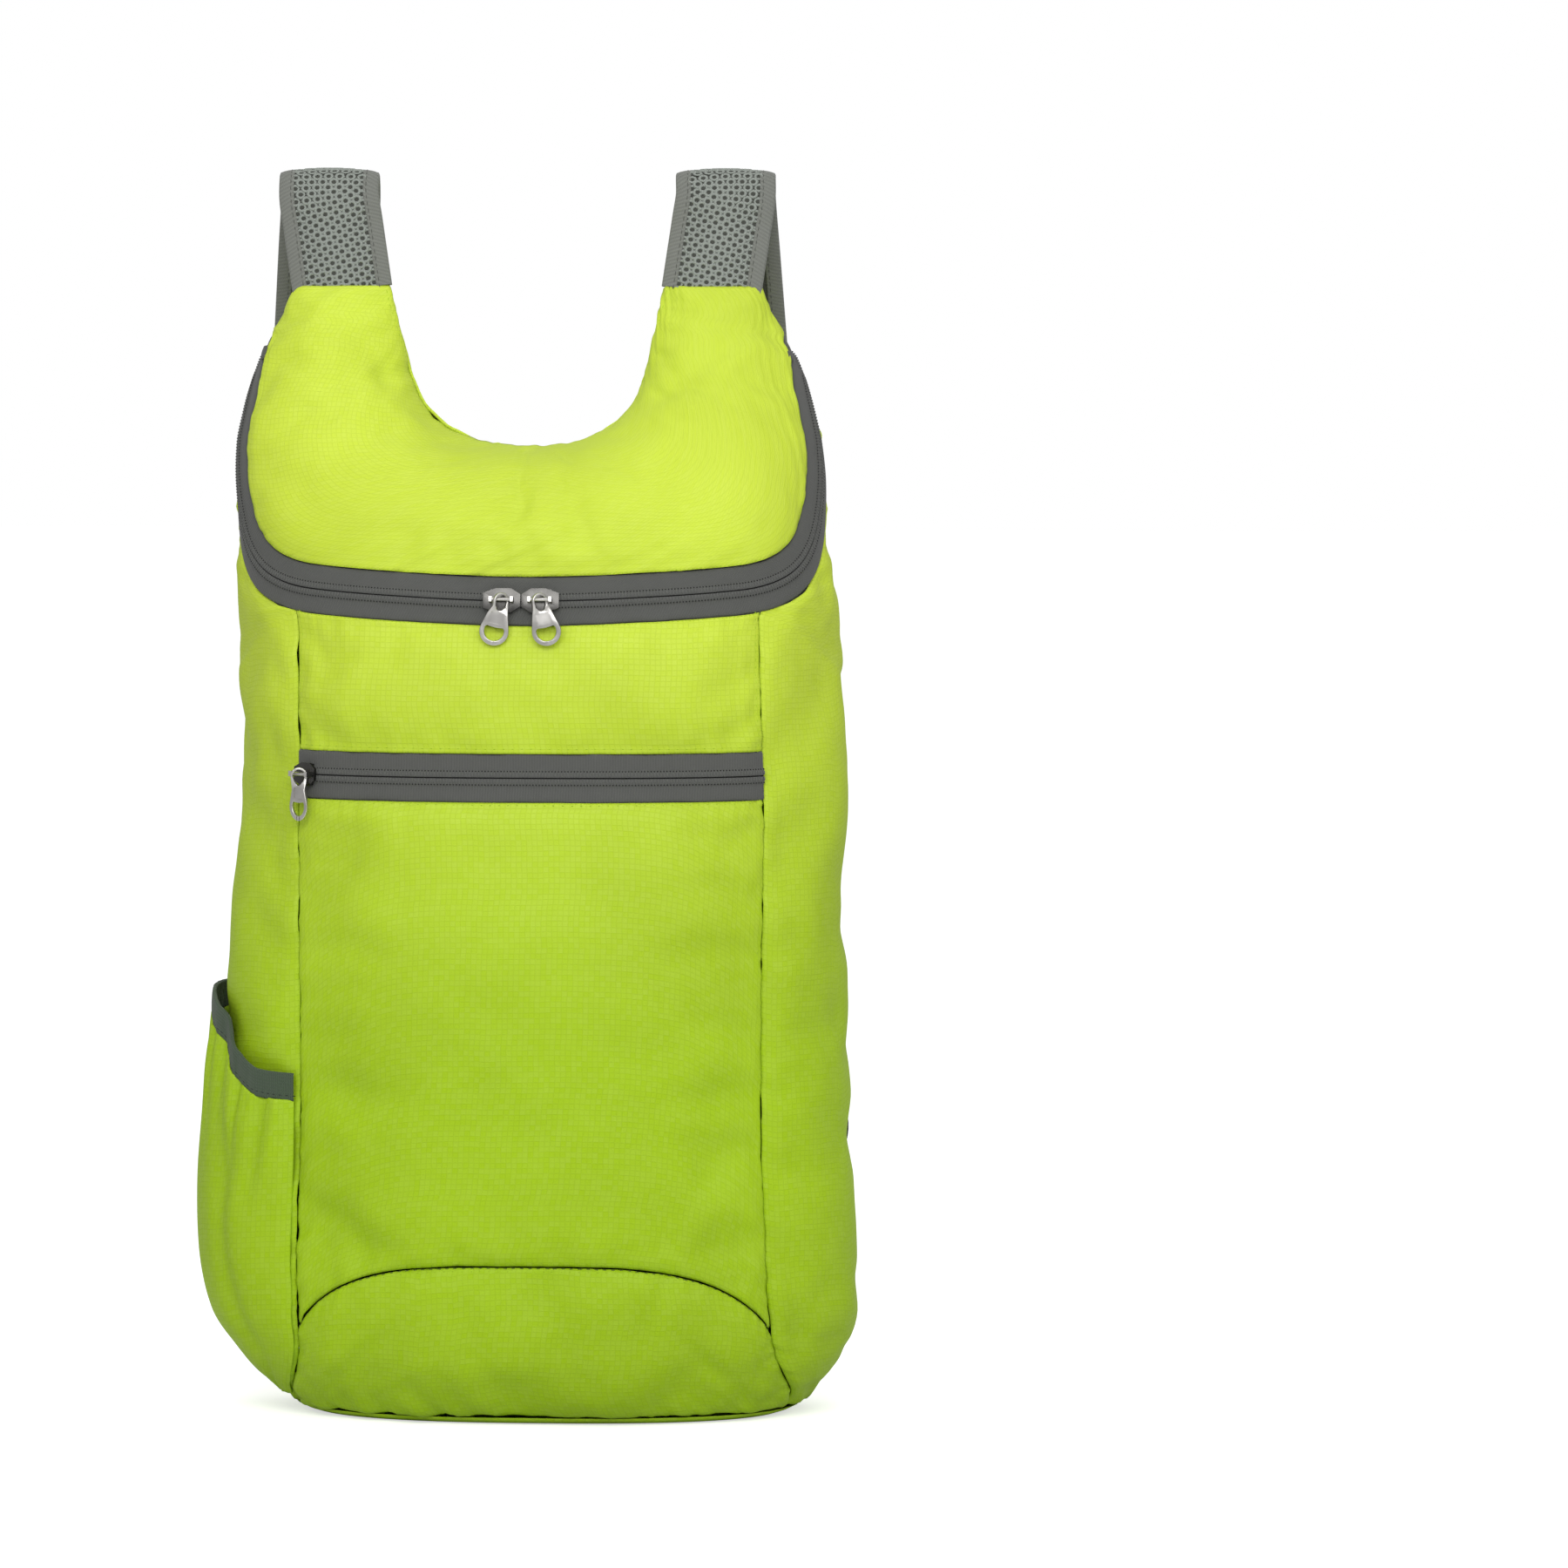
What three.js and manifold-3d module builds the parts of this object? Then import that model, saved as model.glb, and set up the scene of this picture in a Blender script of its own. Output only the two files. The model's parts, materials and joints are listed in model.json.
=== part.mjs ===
// Packable backpack, stuffed and standing on its flat base, with both shoulder straps folded over at the top.
// Millimetres, +Z up. The origin is the middle of the flat base, -Y is the front and +X the right seen from
// the front.
import * as THREE from "three";
import { mergeVertices } from "three/addons/utils/BufferGeometryUtils.js";
import Module from "manifold-3d";

const wasm = await Module();
wasm.setup();

// Body
const BODY_HEIGHT = 466; // floor to the tops of the two horns that the straps grow from
const BODY_HALF_WIDTH = 132; // at the widest section, low on the bag
const FRONT_DEPTH = 76; // from a section's widest line forward to the front
const BACK_DEPTH = 34; // from a section's widest line back to the back panel
const WIDEST_LINE_Y = 16; // the widest line of every section lies this far behind the middle of the base
const SECTION_POWER = 2.5; // 2 is an ellipse, more is boxier
const HORN_SWAY = 4; // the horns lean this far to the left
const CLOTH = 1.2; // thickness of the ripstop cloth with its seam allowance
const GAP = 0.36; // clearance between neighbouring pieces
const BASE_SEAM_HEIGHT = 3; // the base panel turns up to this height
const SEAM_DIP = 1.3; // a sewn seam pulls the cloth in by this much
const SEAM_DIP_ANGLE = 3.2; // degrees to either side that the dip reaches

// Neck
const NECK_DEPTH = 66; // horn tops down to the lowest point of the neck
const NECK_HALF_WIDTH = 57; // at the horn tops
const NECK_ROUNDING = 36; // distance over which the lid and the back round in to the neck seam
const NECK_POWER = 2.2;
const NECK_GAP = 0.8; // the lid and the back stay this far apart along the neck seam

// Zips
const TAPE_HALF_WIDTH = 9.7; // middle of the coil to the tape's sewn edge
const TAPE_THICKNESS = 1;
const COIL_HALF_WIDTH = 2.1;
const COIL_RISE = 1; // the coil stands this far in front of the tape
const COIL_SINK = 0.7;
const TAPE_GAP = 0.5; // sewn edge of the tape to the cloth beside it
const POCKET_ZIP_HEIGHT = 268;

// Base panel of the front, under a sewn arc
const ARC_SIDE_HEIGHT = 38;
const ARC_RISE = 30;
const ARC_POWER = 2.8;
const ARC_GAP = 0.7; // measured upright, so it is narrower square to the arc's steep ends

// Side pocket on the left
const POCKET_FOOT_HEIGHT = 9;
const POCKET_MOUTH_HEIGHT = 145; // upper edge of the binding at the front seam
const POCKET_MOUTH_RISE = 32; // the mouth climbs by this much to the back seam
const POCKET_FULLNESS = 15; // the pocket bags out this far from the gusset
const PLEAT_DEPTH = 3;
const BINDING_HEIGHT = 10.8;
const BINDING_THICKNESS = 1.6;

// Sliders and pulls
const SLIDER_LENGTH = 15.4;
const SLIDER_WIDTH = 10;
const SLIDER_THICKNESS = 1.4;
const SLIDER_CLEARANCE = 0.4;
const MAIN_SLIDERS_MEET_X = -2.6;
const POCKET_SLIDER_LENGTH = 11;
const POCKET_SLIDER_WIDTH = 9.4;
const POCKET_SLIDER_INSET = 7.2; // from the zip's left end to the middle of the slider
const BRIDGE_RISE = 3; // slider plate to the middle of the bridge's rod
const BRIDGE_ROD_RADIUS = 0.75;
const BRIDGE_SPAN = 7.4; // clear length of the rod between its feet
const BRIDGE_FOOT = 1.3;
const BRIDGE_CAP = 0.25; // the feet stand this far over the rod
const EYE_RADIUS = 3.05; // middle of the eye's wire
const EYE_WIRE = 0.9; // wire width in the eye's plane
const EYE_THICKNESS = 1.2;
const EYE_YAW = 35; // degrees, the eye is turned to thread on the rod
const EYE_DROP = 0.8; // the eye's centre hangs this far under the rod
const PULL_LENGTH = 22;
const PULL_THICKNESS = 1.4;
const MAIN_PULL_HALF_WIDTH = 6;
const POCKET_PULL_HALF_WIDTH = 4.75;
const PULL_NECK_HALF_WIDTH = 2.1;
const PULL_TILT = 13; // degrees, each main pull leans outwards

// Shoulder straps
const STRAP_TOP_HEIGHT = 514;
const STRAP_WIDTH = 41.5;
const STRAP_THICKNESS = 6;
const STRAP_ROOT_X = 77;
const STRAP_ROOT_Y = 22;
const STRAP_FOLD_X = 82.5;
const STRAP_FOLD_Y = 41;
const STRAP_FOLD_RADIUS = 8.5;
const STRAP_DROP = 312; // fold to the end of the pad
const STRAP_BOW = 54; // the hanging part stands off this far behind the fold
const STRAP_SPREAD = 24;
const EDGING_WIDTH = 6.5;
const EDGING_THICKNESS = 0.7;
const WEBBING_WIDTH = 20;
const WEBBING_THICKNESS = 1.1;
const ANCHOR_HEIGHT = 92; // where the webbing leaves the side seam
const ANCHOR_ANGLE = 9; // degrees behind the side seam
const WEBBING_STRAIGHT = 14; // under the buckle the webbing runs straight for this long
const WEBBING_SWING = 16; // the webbing stands off the seam this far on its way up
const BUCKLE_BAR = 2.4;
const BUCKLE_SLOT = 6.6;
const BUCKLE_RAIL = 2.6;
const BUCKLE_SETBACK = 11; // end of the pad to the buckle's top bar
const BAR_WRAP_RADIUS = 2.6;
const TAIL_LENGTH = 30;
const TAIL_LIFT = 19; // the tail ends this far off the buckle, away from the webbing below it

// Sections of the body from the floor up. Heights are shares of BODY_HEIGHT, widths of BODY_HALF_WIDTH,
// front of FRONT_DEPTH, back of BACK_DEPTH, step (the widest line's shift to the back) of BACK_DEPTH,
// sway of HORN_SWAY.
const SECTIONS = [
  { height: 0, width: 0.66, front: 0.7, back: 0.62, step: 0, sway: 0 },
  { height: 0.004, width: 0.715, front: 0.755, back: 0.7, step: 0, sway: 0 },
  { height: 0.011, width: 0.765, front: 0.805, back: 0.78, step: 0, sway: 0 },
  { height: 0.023, width: 0.813, front: 0.865, back: 0.87, step: 0, sway: 0 },
  { height: 0.042, width: 0.882, front: 0.925, back: 0.94, step: 0, sway: 0 },
  { height: 0.063, width: 0.936, front: 0.965, back: 0.98, step: 0, sway: 0 },
  { height: 0.1, width: 0.986, front: 0.99, back: 1, step: 0, sway: 0 },
  { height: 0.15, width: 1, front: 1, back: 1, step: 0, sway: 0 },
  { height: 0.26, width: 0.983, front: 1, back: 1, step: 0, sway: 0 },
  { height: 0.43, width: 0.964, front: 0.985, back: 0.97, step: 0, sway: 0 },
  { height: 0.55, width: 0.95, front: 0.945, back: 0.92, step: 0, sway: 0 },
  { height: 0.645, width: 0.941, front: 0.91, back: 0.88, step: 0, sway: 0.1 },
  { height: 0.72, width: 0.935, front: 0.86, back: 0.82, step: 0.01, sway: 0.25 },
  { height: 0.785, width: 0.93, front: 0.765, back: 0.74, step: 0.04, sway: 0.45 },
  { height: 0.825, width: 0.928, front: 0.69, back: 0.69, step: 0.06, sway: 0.58 },
  { height: 0.86, width: 0.918, front: 0.6, back: 0.61, step: 0.09, sway: 0.7 },
  { height: 0.885, width: 0.898, front: 0.53, back: 0.54, step: 0.12, sway: 0.76 },
  { height: 0.91, width: 0.872, front: 0.45, back: 0.46, step: 0.16, sway: 0.82 },
  { height: 0.945, width: 0.825, front: 0.32, back: 0.35, step: 0.21, sway: 0.9 },
  { height: 0.972, width: 0.777, front: 0.215, back: 0.26, step: 0.25, sway: 0.95 },
  { height: 1, width: 0.735, front: 0.125, back: 0.19, step: 0.28, sway: 1 },
];

// Angles round a section in degrees from the front: the seam between front panel and gusset, and the one
// between gusset and back panel. Heights are shares of BODY_HEIGHT.
const SIDE_SEAMS = [
  { height: 0, front: 72, back: 121 },
  { height: 0.022, front: 66, back: 120 },
  { height: 0.039, front: 57.5, back: 119 },
  { height: 0.06, front: 50, back: 118 },
  { height: 0.08, front: 46.5, back: 118 },
  { height: 0.125, front: 43.6, back: 118 },
  { height: 0.2, front: 43, back: 118 },
  { height: 0.35, front: 43.8, back: 118 },
  { height: 0.56, front: 46.2, back: 118 },
  { height: 0.72, front: 46.6, back: 118 },
  { height: 0.86, front: 48, back: 116 },
  { height: 0.945, front: 50, back: 111 },
  { height: 1, front: 52, back: 101 },
];

// Main zip from the middle of the front to its right end in the back seam. Heights are shares of BODY_HEIGHT.
const MAIN_ZIP = [
  { angle: 0, height: 0.7295 },
  { angle: 17, height: 0.7325 },
  { angle: 33, height: 0.736 },
  { angle: 45, height: 0.7395 },
  { angle: 55, height: 0.7475 },
  { angle: 63, height: 0.76 },
  { angle: 70, height: 0.78 },
  { angle: 75.5, height: 0.809 },
  { angle: 79.5, height: 0.842 },
  { angle: 82, height: 0.871 },
  { angle: 85, height: 0.9 },
  { angle: 91, height: 0.921 },
  { angle: 101, height: 0.935 },
  { angle: 111.4, height: 0.941 },
];

// Neck curve from its lowest point to the horn top, as shares of NECK_HALF_WIDTH and NECK_DEPTH
const NECK = [
  { across: 0, rise: 0 },
  { across: 0.2, rise: 0.008 },
  { across: 0.39, rise: 0.045 },
  { across: 0.58, rise: 0.125 },
  { across: 0.74, rise: 0.255 },
  { across: 0.845, rise: 0.45 },
  { across: 0.92, rise: 0.7 },
  { across: 1, rise: 1 },
];

// Broad dents and swells of the stuffed cloth. Angle, span and reach are where and how wide, as degrees and
// as shares of BODY_HEIGHT, and swell is a share of FRONT_DEPTH, negative for a dent.
const DENTS = [
  { angle: 0, height: 0.34, span: 30, reach: 0.2, swell: 0.035 },
  { angle: 0, height: 0.585, span: 46, reach: 0.03, swell: -0.022 },
  { angle: -26, height: 0.865, span: 10, reach: 0.03, swell: -0.03 },
  { angle: 30, height: 0.85, span: 9, reach: 0.035, swell: -0.028 },
  { angle: 4, height: 0.795, span: 22, reach: 0.03, swell: 0.035 },
  { angle: 72, height: 0.42, span: 14, reach: 0.18, swell: -0.03 },
  { angle: -72, height: 0.55, span: 14, reach: 0.12, swell: -0.03 },
  { angle: 180, height: 0.45, span: 30, reach: 0.2, swell: -0.02 },
];

// Upper edge of the side pocket, from the front seam (0) to the back seam (1), as shares of POCKET_MOUTH_RISE
const POCKET_MOUTH = [
  { across: 0, rise: 0 },
  { across: 0.14, rise: 0.04 },
  { across: 0.26, rise: 0.28 },
  { across: 0.4, rise: 0.74 },
  { across: 0.6, rise: 0.95 },
  { across: 1, rise: 1 },
];

// The pad's hanging part, from the fold down, as shares of STRAP_DROP, STRAP_BOW and STRAP_SPREAD
const STRAP_HANG = [
  { drop: 0.08, back: 0.18, out: 0.1 },
  { drop: 0.24, back: 0.57, out: 0.3 },
  { drop: 0.44, back: 0.88, out: 0.54 },
  { drop: 0.64, back: 0.93, out: 0.76 },
  { drop: 0.83, back: 0.74, out: 0.93 },
  { drop: 1, back: 0.42, out: 1 },
];

const COLOURS = {
  lime: { color: 0xb9e23a, roughness: 0.45, metalness: 0 },
  limeShade: { color: 0xa3cb28, roughness: 0.5, metalness: 0 },
  tape: { color: 0x555652, roughness: 0.8, metalness: 0 },
  coil: { color: 0x3d3e3b, roughness: 0.55, metalness: 0 },
  metal: { color: 0x8f8d8a, roughness: 0.3, metalness: 1 },
  mesh: { color: 0x8a918b, roughness: 0.85, metalness: 0 },
  edging: { color: 0x757771, roughness: 0.8, metalness: 0 },
  elastic: { color: 0x445241, roughness: 0.8, metalness: 0 },
  webbing: { color: 0x2c2d2b, roughness: 0.75, metalness: 0 },
  plastic: { color: 0x1e1f1e, roughness: 0.4, metalness: 0 },
};

const DEGREES = Math.PI / 180;
const { lerp, clamp } = THREE.MathUtils;
const backpack = new THREE.Group();

// Value of a table's column at a place along its key column, on a smooth curve through the rows
function column(table, key, name, at) {
  const last = table.length - 1;
  const x = clamp(at, table[0][key], table[last][key]);
  let i = 0;
  while (i < last - 1 && x > table[i + 1][key]) i += 1;
  const slope = (a, b) => (table[b][name] - table[a][name]) / (table[b][key] - table[a][key]);
  const step = table[i + 1][key] - table[i][key];
  const here = slope(i, i + 1);
  const before = i > 0 ? slope(i - 1, i) : here;
  const after = i < last - 1 ? slope(i + 1, i + 2) : here;
  const mean = (a, b) => (a * b > 0 ? (2 * a * b) / (a + b) : 0);
  const t = (x - table[i][key]) / step;
  const start = i > 0 ? mean(before, here) : here;
  const end = i < last - 1 ? mean(here, after) : here;
  const t2 = t * t;
  const t3 = t2 * t;
  return (
    (2 * t3 - 3 * t2 + 1) * table[i][name] +
    (t3 - 2 * t2 + t) * step * start +
    (3 * t2 - 2 * t3) * table[i + 1][name] +
    (t3 - t2) * step * end
  );
}

const signedPower = (value, power) => Math.sign(value) * Math.abs(value) ** power;

// The measures of the body's section at a height
function sectionAt(height) {
  const at = height / BODY_HEIGHT;
  return {
    width: BODY_HALF_WIDTH * column(SECTIONS, "height", "width", at),
    front: FRONT_DEPTH * column(SECTIONS, "height", "front", at),
    back: BACK_DEPTH * column(SECTIONS, "height", "back", at),
    middle: WIDEST_LINE_Y + BACK_DEPTH * column(SECTIONS, "height", "step", at),
    sway: -HORN_SWAY * column(SECTIONS, "height", "sway", at),
  };
}

const frontSeam = (height) => column(SIDE_SEAMS, "height", "front", height / BODY_HEIGHT);
const backSeam = (height) => column(SIDE_SEAMS, "height", "back", height / BODY_HEIGHT);

// How far the cloth stands out from the plain section: dents and swells, and the pull of the side seams
function standOut(angle, height) {
  let out = 0;
  for (const dent of DENTS) {
    const a = (THREE.MathUtils.euclideanModulo(angle - dent.angle + 180, 360) - 180) / dent.span;
    const h = (height / BODY_HEIGHT - dent.height) / dent.reach;
    out += FRONT_DEPTH * dent.swell * Math.exp(-a * a - h * h);
  }
  const fromSeam = (Math.abs(angle) - frontSeam(height)) / SEAM_DIP_ANGLE;
  const underZip = clamp((mainZipHeight(angle) - height) / TAPE_HALF_WIDTH - 1, 0, 1);
  const overBase = clamp(height / BASE_SEAM_HEIGHT - 1, 0, 1);
  return out * overBase - SEAM_DIP * underZip * overBase * Math.exp(-fromSeam * fromSeam);
}

// Height of the main zip over an angle of the front
function mainZipHeight(angle) {
  return BODY_HEIGHT * column(MAIN_ZIP, "angle", "height", Math.abs(angle));
}

// A point on the body's outer surface. Fade runs from 1 down to 0 where the cloth rounds in to the neck seam.
function bodyPoint(angle, height, fade = 1) {
  const s = sectionAt(height);
  const power = 2 / SECTION_POWER;
  const sin = Math.sin(angle * DEGREES);
  const cos = Math.cos(angle * DEGREES);
  const depth = cos > 0 ? s.front : s.back;
  const x = s.width * signedPower(sin, power);
  const y = -depth * signedPower(cos, power);
  const out = standOut(angle, height);
  const nx = x / s.width ** 2;
  const ny = y / depth ** 2;
  const length = Math.hypot(nx, ny);
  const sewn = 0.5 * NECK_GAP * (1 - fade) * Math.sign(y);
  return new THREE.Vector3(
    s.sway + x + (out * nx) / length,
    s.middle + (y + (out * ny) / length) * fade + sewn,
    height,
  );
}

function bodyNormal(angle, height) {
  const step = 0.1;
  const across = bodyPoint(angle + step, height).sub(bodyPoint(angle - step, height));
  return across.cross(bodyPoint(angle, height + step).sub(bodyPoint(angle, height - step))).normalize();
}

// How much of its depth the body keeps at a distance from the neck seam
function neckFade(distance) {
  if (distance >= NECK_ROUNDING) return 1;
  return (1 - (1 - Math.max(distance, 0) / NECK_ROUNDING) ** NECK_POWER) ** (1 / NECK_POWER);
}

// Adds a finished closed geometry to the backpack as a named mesh
function addMesh(name, geometry, look, parent = backpack) {
  geometry.computeVertexNormals();
  const mesh = new THREE.Mesh(geometry, new THREE.MeshStandardMaterial(COLOURS[look]));
  mesh.name = name;
  parent.add(mesh);
  return mesh;
}

// A closed body through rings of an even number of points, capped at both ends by joining the ring's halves
function loft(rings) {
  const n = rings[0].length;
  const positions = rings.flat().flatMap((p) => [p.x, p.y, p.z]);
  const faces = [];
  const quad = (a, b, c, d) => faces.push(a, b, c, a, c, d);
  for (let i = 0; i + 1 < rings.length; i += 1)
    for (let j = 0; j < n; j += 1) {
      const k = (j + 1) % n;
      quad(i * n + j, (i + 1) * n + j, (i + 1) * n + k, i * n + k);
    }
  const end = (rings.length - 1) * n;
  for (let j = 0; j + 1 < n / 2; j += 1) {
    quad(j, j + 1, n - 2 - j, n - 1 - j);
    quad(end + j + 1, end + j, end + n - 1 - j, end + n - 2 - j);
  }
  return facingOut(positions, faces);
}

// An indexed geometry whose faces are turned over if its signed volume is negative
function facingOut(positions, faces) {
  let volume = 0;
  const p = (i) => new THREE.Vector3().fromArray(positions, 3 * i);
  for (let i = 0; i < faces.length; i += 3)
    volume += p(faces[i]).dot(p(faces[i + 1]).cross(p(faces[i + 2])));
  if (volume < 0) faces.reverse();
  const geometry = new THREE.BufferGeometry();
  geometry.setAttribute("position", new THREE.Float32BufferAttribute(positions, 3));
  geometry.setIndex(faces);
  return geometry;
}

// Surface normal of a patch at (u, v), by small steps that stay inside the patch
function patchNormal(patch, u, v) {
  const step = 1e-3;
  const u0 = Math.max(u - step, 0);
  const u1 = Math.min(u + step, 1);
  const v0 = Math.max(v - step, 0);
  const v1 = Math.min(v + step, 1);
  const along = patch(u1, v).sub(patch(u0, v));
  return along.cross(patch(u, v1).sub(patch(u, v0))).normalize();
}

// A sheet of cloth: the patch is its outer face, over the given lists of u and v, and side turns its normal
// outwards. A piece of the body's surface gives the body's own normals instead.
function sheet(patch, us, vs, thickness, side = 1, normalAt = (u, v) => patchNormal(patch, u, v)) {
  return loft(
    us.map((u) => {
      const outer = vs.map((v) => patch(u, v));
      const inner = vs.map((v, j) => outer[j].clone().addScaledVector(normalAt(u, v), -side * thickness));
      return [...outer, ...inner.reverse()];
    }),
  );
}

const shares = (count) => Array.from({ length: count + 1 }, (_, i) => i / count);

// Half of the gap between two panels at a side seam, as an angle round the section
function seamGap(angle, height) {
  const step = 0.5;
  return (GAP * step) / 2 / bodyPoint(angle, height).distanceTo(bodyPoint(angle + step, height));
}

const frontEdge = (height, side) => frontSeam(height) + side * seamGap(frontSeam(height), height);
const backEdge = (height, side) => backSeam(height) + side * seamGap(backSeam(height), height);

// A patch of the front between two edges given as heights over an angle, from side seam to side seam
function frontPatch(lower, upper) {
  return (u, v) => {
    const across = 2 * u - 1;
    const first = across * frontSeam(lower(0));
    const angle = across * frontEdge(lerp(lower(first), upper(first), v), -1);
    return bodyPoint(angle, lerp(lower(angle), upper(angle), v));
  };
}

// The path of the main zip on the body, in angle and height, and its borders
const DEGREE_LENGTH = 1.6; // rough length of a degree of the section, to space the stations evenly
const ZIP_END_SLACK = 40; // keeps the zip's borders off the back seam until its very ends, in degrees
const zipSide = MAIN_ZIP.slice(1).map(
  (row) => new THREE.Vector3(row.angle * DEGREE_LENGTH, row.height * BODY_HEIGHT, 0),
);
const zipCurve = new THREE.CatmullRomCurve3(
  [
    ...zipSide.map((p) => new THREE.Vector3(-p.x, p.y, 0)).reverse(),
    new THREE.Vector3(0, MAIN_ZIP[0].height * BODY_HEIGHT, 0),
    ...zipSide,
  ],
  false,
  "centripetal",
);

// Steps over the body's surface from the zip's path, at right angles to it, by an offset (up is positive)
function besideZip(along, offset) {
  const here = zipCurve.getPointAt(clamp(along, 0, 1));
  const step = 2e-3;
  const back = zipCurve.getPointAt(Math.max(along - step, 0));
  const ahead = zipCurve.getPointAt(Math.min(along + step, 1));
  let angle = here.x / DEGREE_LENGTH;
  let height = here.y;
  const tangent = bodyPoint(ahead.x / DEGREE_LENGTH, ahead.y).sub(bodyPoint(back.x / DEGREE_LENGTH, back.y));
  const walks = 4;
  for (let i = 0; i < walks; i += 1) {
    const byAngle = bodyPoint(angle + 0.2, height).sub(bodyPoint(angle - 0.2, height)).divideScalar(0.4);
    const byHeight = bodyPoint(angle, height + 0.2).sub(bodyPoint(angle, height - 0.2)).divideScalar(0.4);
    const across = byAngle.clone().cross(byHeight).cross(tangent).normalize();
    const aa = byAngle.dot(byAngle);
    const ah = byAngle.dot(byHeight);
    const hh = byHeight.dot(byHeight);
    const a = across.dot(byAngle);
    const h = across.dot(byHeight);
    const scale = offset / walks / (aa * hh - ah * ah);
    angle += (a * hh - h * ah) * scale;
    height += (h * aa - a * ah) * scale;
  }
  const edge = backEdge(height, -1) - ZIP_END_SLACK * (1 - Math.abs(2 * along - 1));
  return { angle: clamp(angle, -edge, edge), height };
}

const onBody = (at) => bodyPoint(at.angle, at.height);
const offBody = (at) => bodyNormal(at.angle, at.height);
const zipPoint = (along, offset) => onBody(besideZip(along, offset));

// The height of one border of the main zip over an angle of the front
const LOWER_BORDER = -(TAPE_HALF_WIDTH + TAPE_GAP);
const UPPER_BORDER = TAPE_HALF_WIDTH + TAPE_GAP;
const borderSamples = shares(60).map((s) => besideZip(0.5 + 0.3 * s, LOWER_BORDER));
function lowerBorderHeight(angle) {
  const a = Math.abs(angle);
  let i = 0;
  while (i < borderSamples.length - 2 && borderSamples[i + 1].angle < a) i += 1;
  const p = borderSamples[i];
  const q = borderSamples[i + 1];
  return lerp(p.height, q.height, (a - p.angle) / (q.angle - p.angle));
}

// The share of the zip's length at which its lower border crosses the front seam, on the right
function seamCrossing() {
  let low = 0.5;
  let high = 0.9;
  for (let i = 0; i < 40; i += 1) {
    const middle = (low + high) / 2;
    const at = besideZip(middle, LOWER_BORDER);
    if (at.angle < frontEdge(at.height, 1)) low = middle;
    else high = middle;
  }
  return (low + high) / 2;
}

const SEAM_CROSSING = seamCrossing();
const SIDE_STATIONS = 13;
const FRONT_STATIONS = 10;
const sideStations = shares(SIDE_STATIONS).map((s) => lerp(SEAM_CROSSING, 1, s));
const frontStations = shares(FRONT_STATIONS).map((s) => lerp(1 - SEAM_CROSSING, SEAM_CROSSING, s));
const ZIP_STATIONS = [
  ...sideStations.map((s) => 1 - s).reverse(),
  ...frontStations.slice(1, -1),
  ...sideStations,
];

// Lid: from the zip's upper border and the horns' outer edges in to the neck
const neckSide = NECK.slice(1).map(
  (row) => new THREE.Vector3(row.across * NECK_HALF_WIDTH, BODY_HEIGHT + (row.rise - 1) * NECK_DEPTH, 0),
);
const neckCurve = new THREE.CatmullRomCurve3([
  ...neckSide.map((p) => new THREE.Vector3(-p.x, p.y, 0)).reverse(),
  new THREE.Vector3(0, BODY_HEIGHT - NECK_DEPTH, 0),
  ...neckSide,
]);

// Angle of the section's front at a distance from its middle
function angleAt(x, height) {
  const share = clamp(x / sectionAt(height).width, -1, 1);
  return Math.asin(signedPower(share, SECTION_POWER / 2)) / DEGREES;
}

const HORN_STATIONS = 2;
const LID_ROWS = [0, 0.2, 0.42, 0.62, 0.79, 0.91, 0.975, 1];

// Outer edge of the lid: over the left horn's side, along the zip, over the right horn's side
function lidEdge(u) {
  const stations = ZIP_STATIONS.length - 1 + 2 * HORN_STATIONS;
  const at = u * stations;
  const right = at > stations / 2;
  const fromEnd = right ? stations - at : at;
  if (fromEnd <= HORN_STATIONS) {
    const corner = besideZip(right ? 1 : 0, UPPER_BORDER);
    const height = lerp(BODY_HEIGHT, corner.height, fromEnd / HORN_STATIONS);
    const edge = backEdge(height, -1);
    return { angle: right ? edge : -edge, height };
  }
  const i = clamp(at - HORN_STATIONS, 0, ZIP_STATIONS.length - 1);
  const k = Math.min(Math.floor(i), ZIP_STATIONS.length - 2);
  return besideZip(lerp(ZIP_STATIONS[k], ZIP_STATIONS[k + 1], i - k), UPPER_BORDER);
}

// A place on the lid, from its outer edge (v 0) to the neck (v 1)
function lidPlace(u, v) {
  const edge = lidEdge(u);
  const neck = neckCurve.getPointAt(u);
  const neckAngle = angleAt(neck.x, neck.y);
  const span = bodyPoint(edge.angle, edge.height).distanceTo(bodyPoint(neckAngle, neck.y));
  const angle = lerp(edge.angle, neckAngle, v);
  const height = lerp(edge.height, neck.y, v);
  return { angle, height, fade: neckFade((1 - v) * span) };
}

function lidPatch(u, v) {
  const at = lidPlace(u, v);
  return bodyPoint(at.angle, at.height, at.fade);
}

// The body's own normal away from the neck, where the lid's columns may meet its edge at a slant
function lidNormal(u, v) {
  const at = lidPlace(u, v);
  return at.fade < 1 ? patchNormal(lidPatch, u, v) : bodyNormal(at.angle, at.height);
}

function makeLid() {
  const columns = shares(ZIP_STATIONS.length - 1 + 2 * HORN_STATIONS);
  addMesh("lid", sheet(lidPatch, columns, LID_ROWS, CLOTH, 1, lidNormal), "lime");
}

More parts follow.
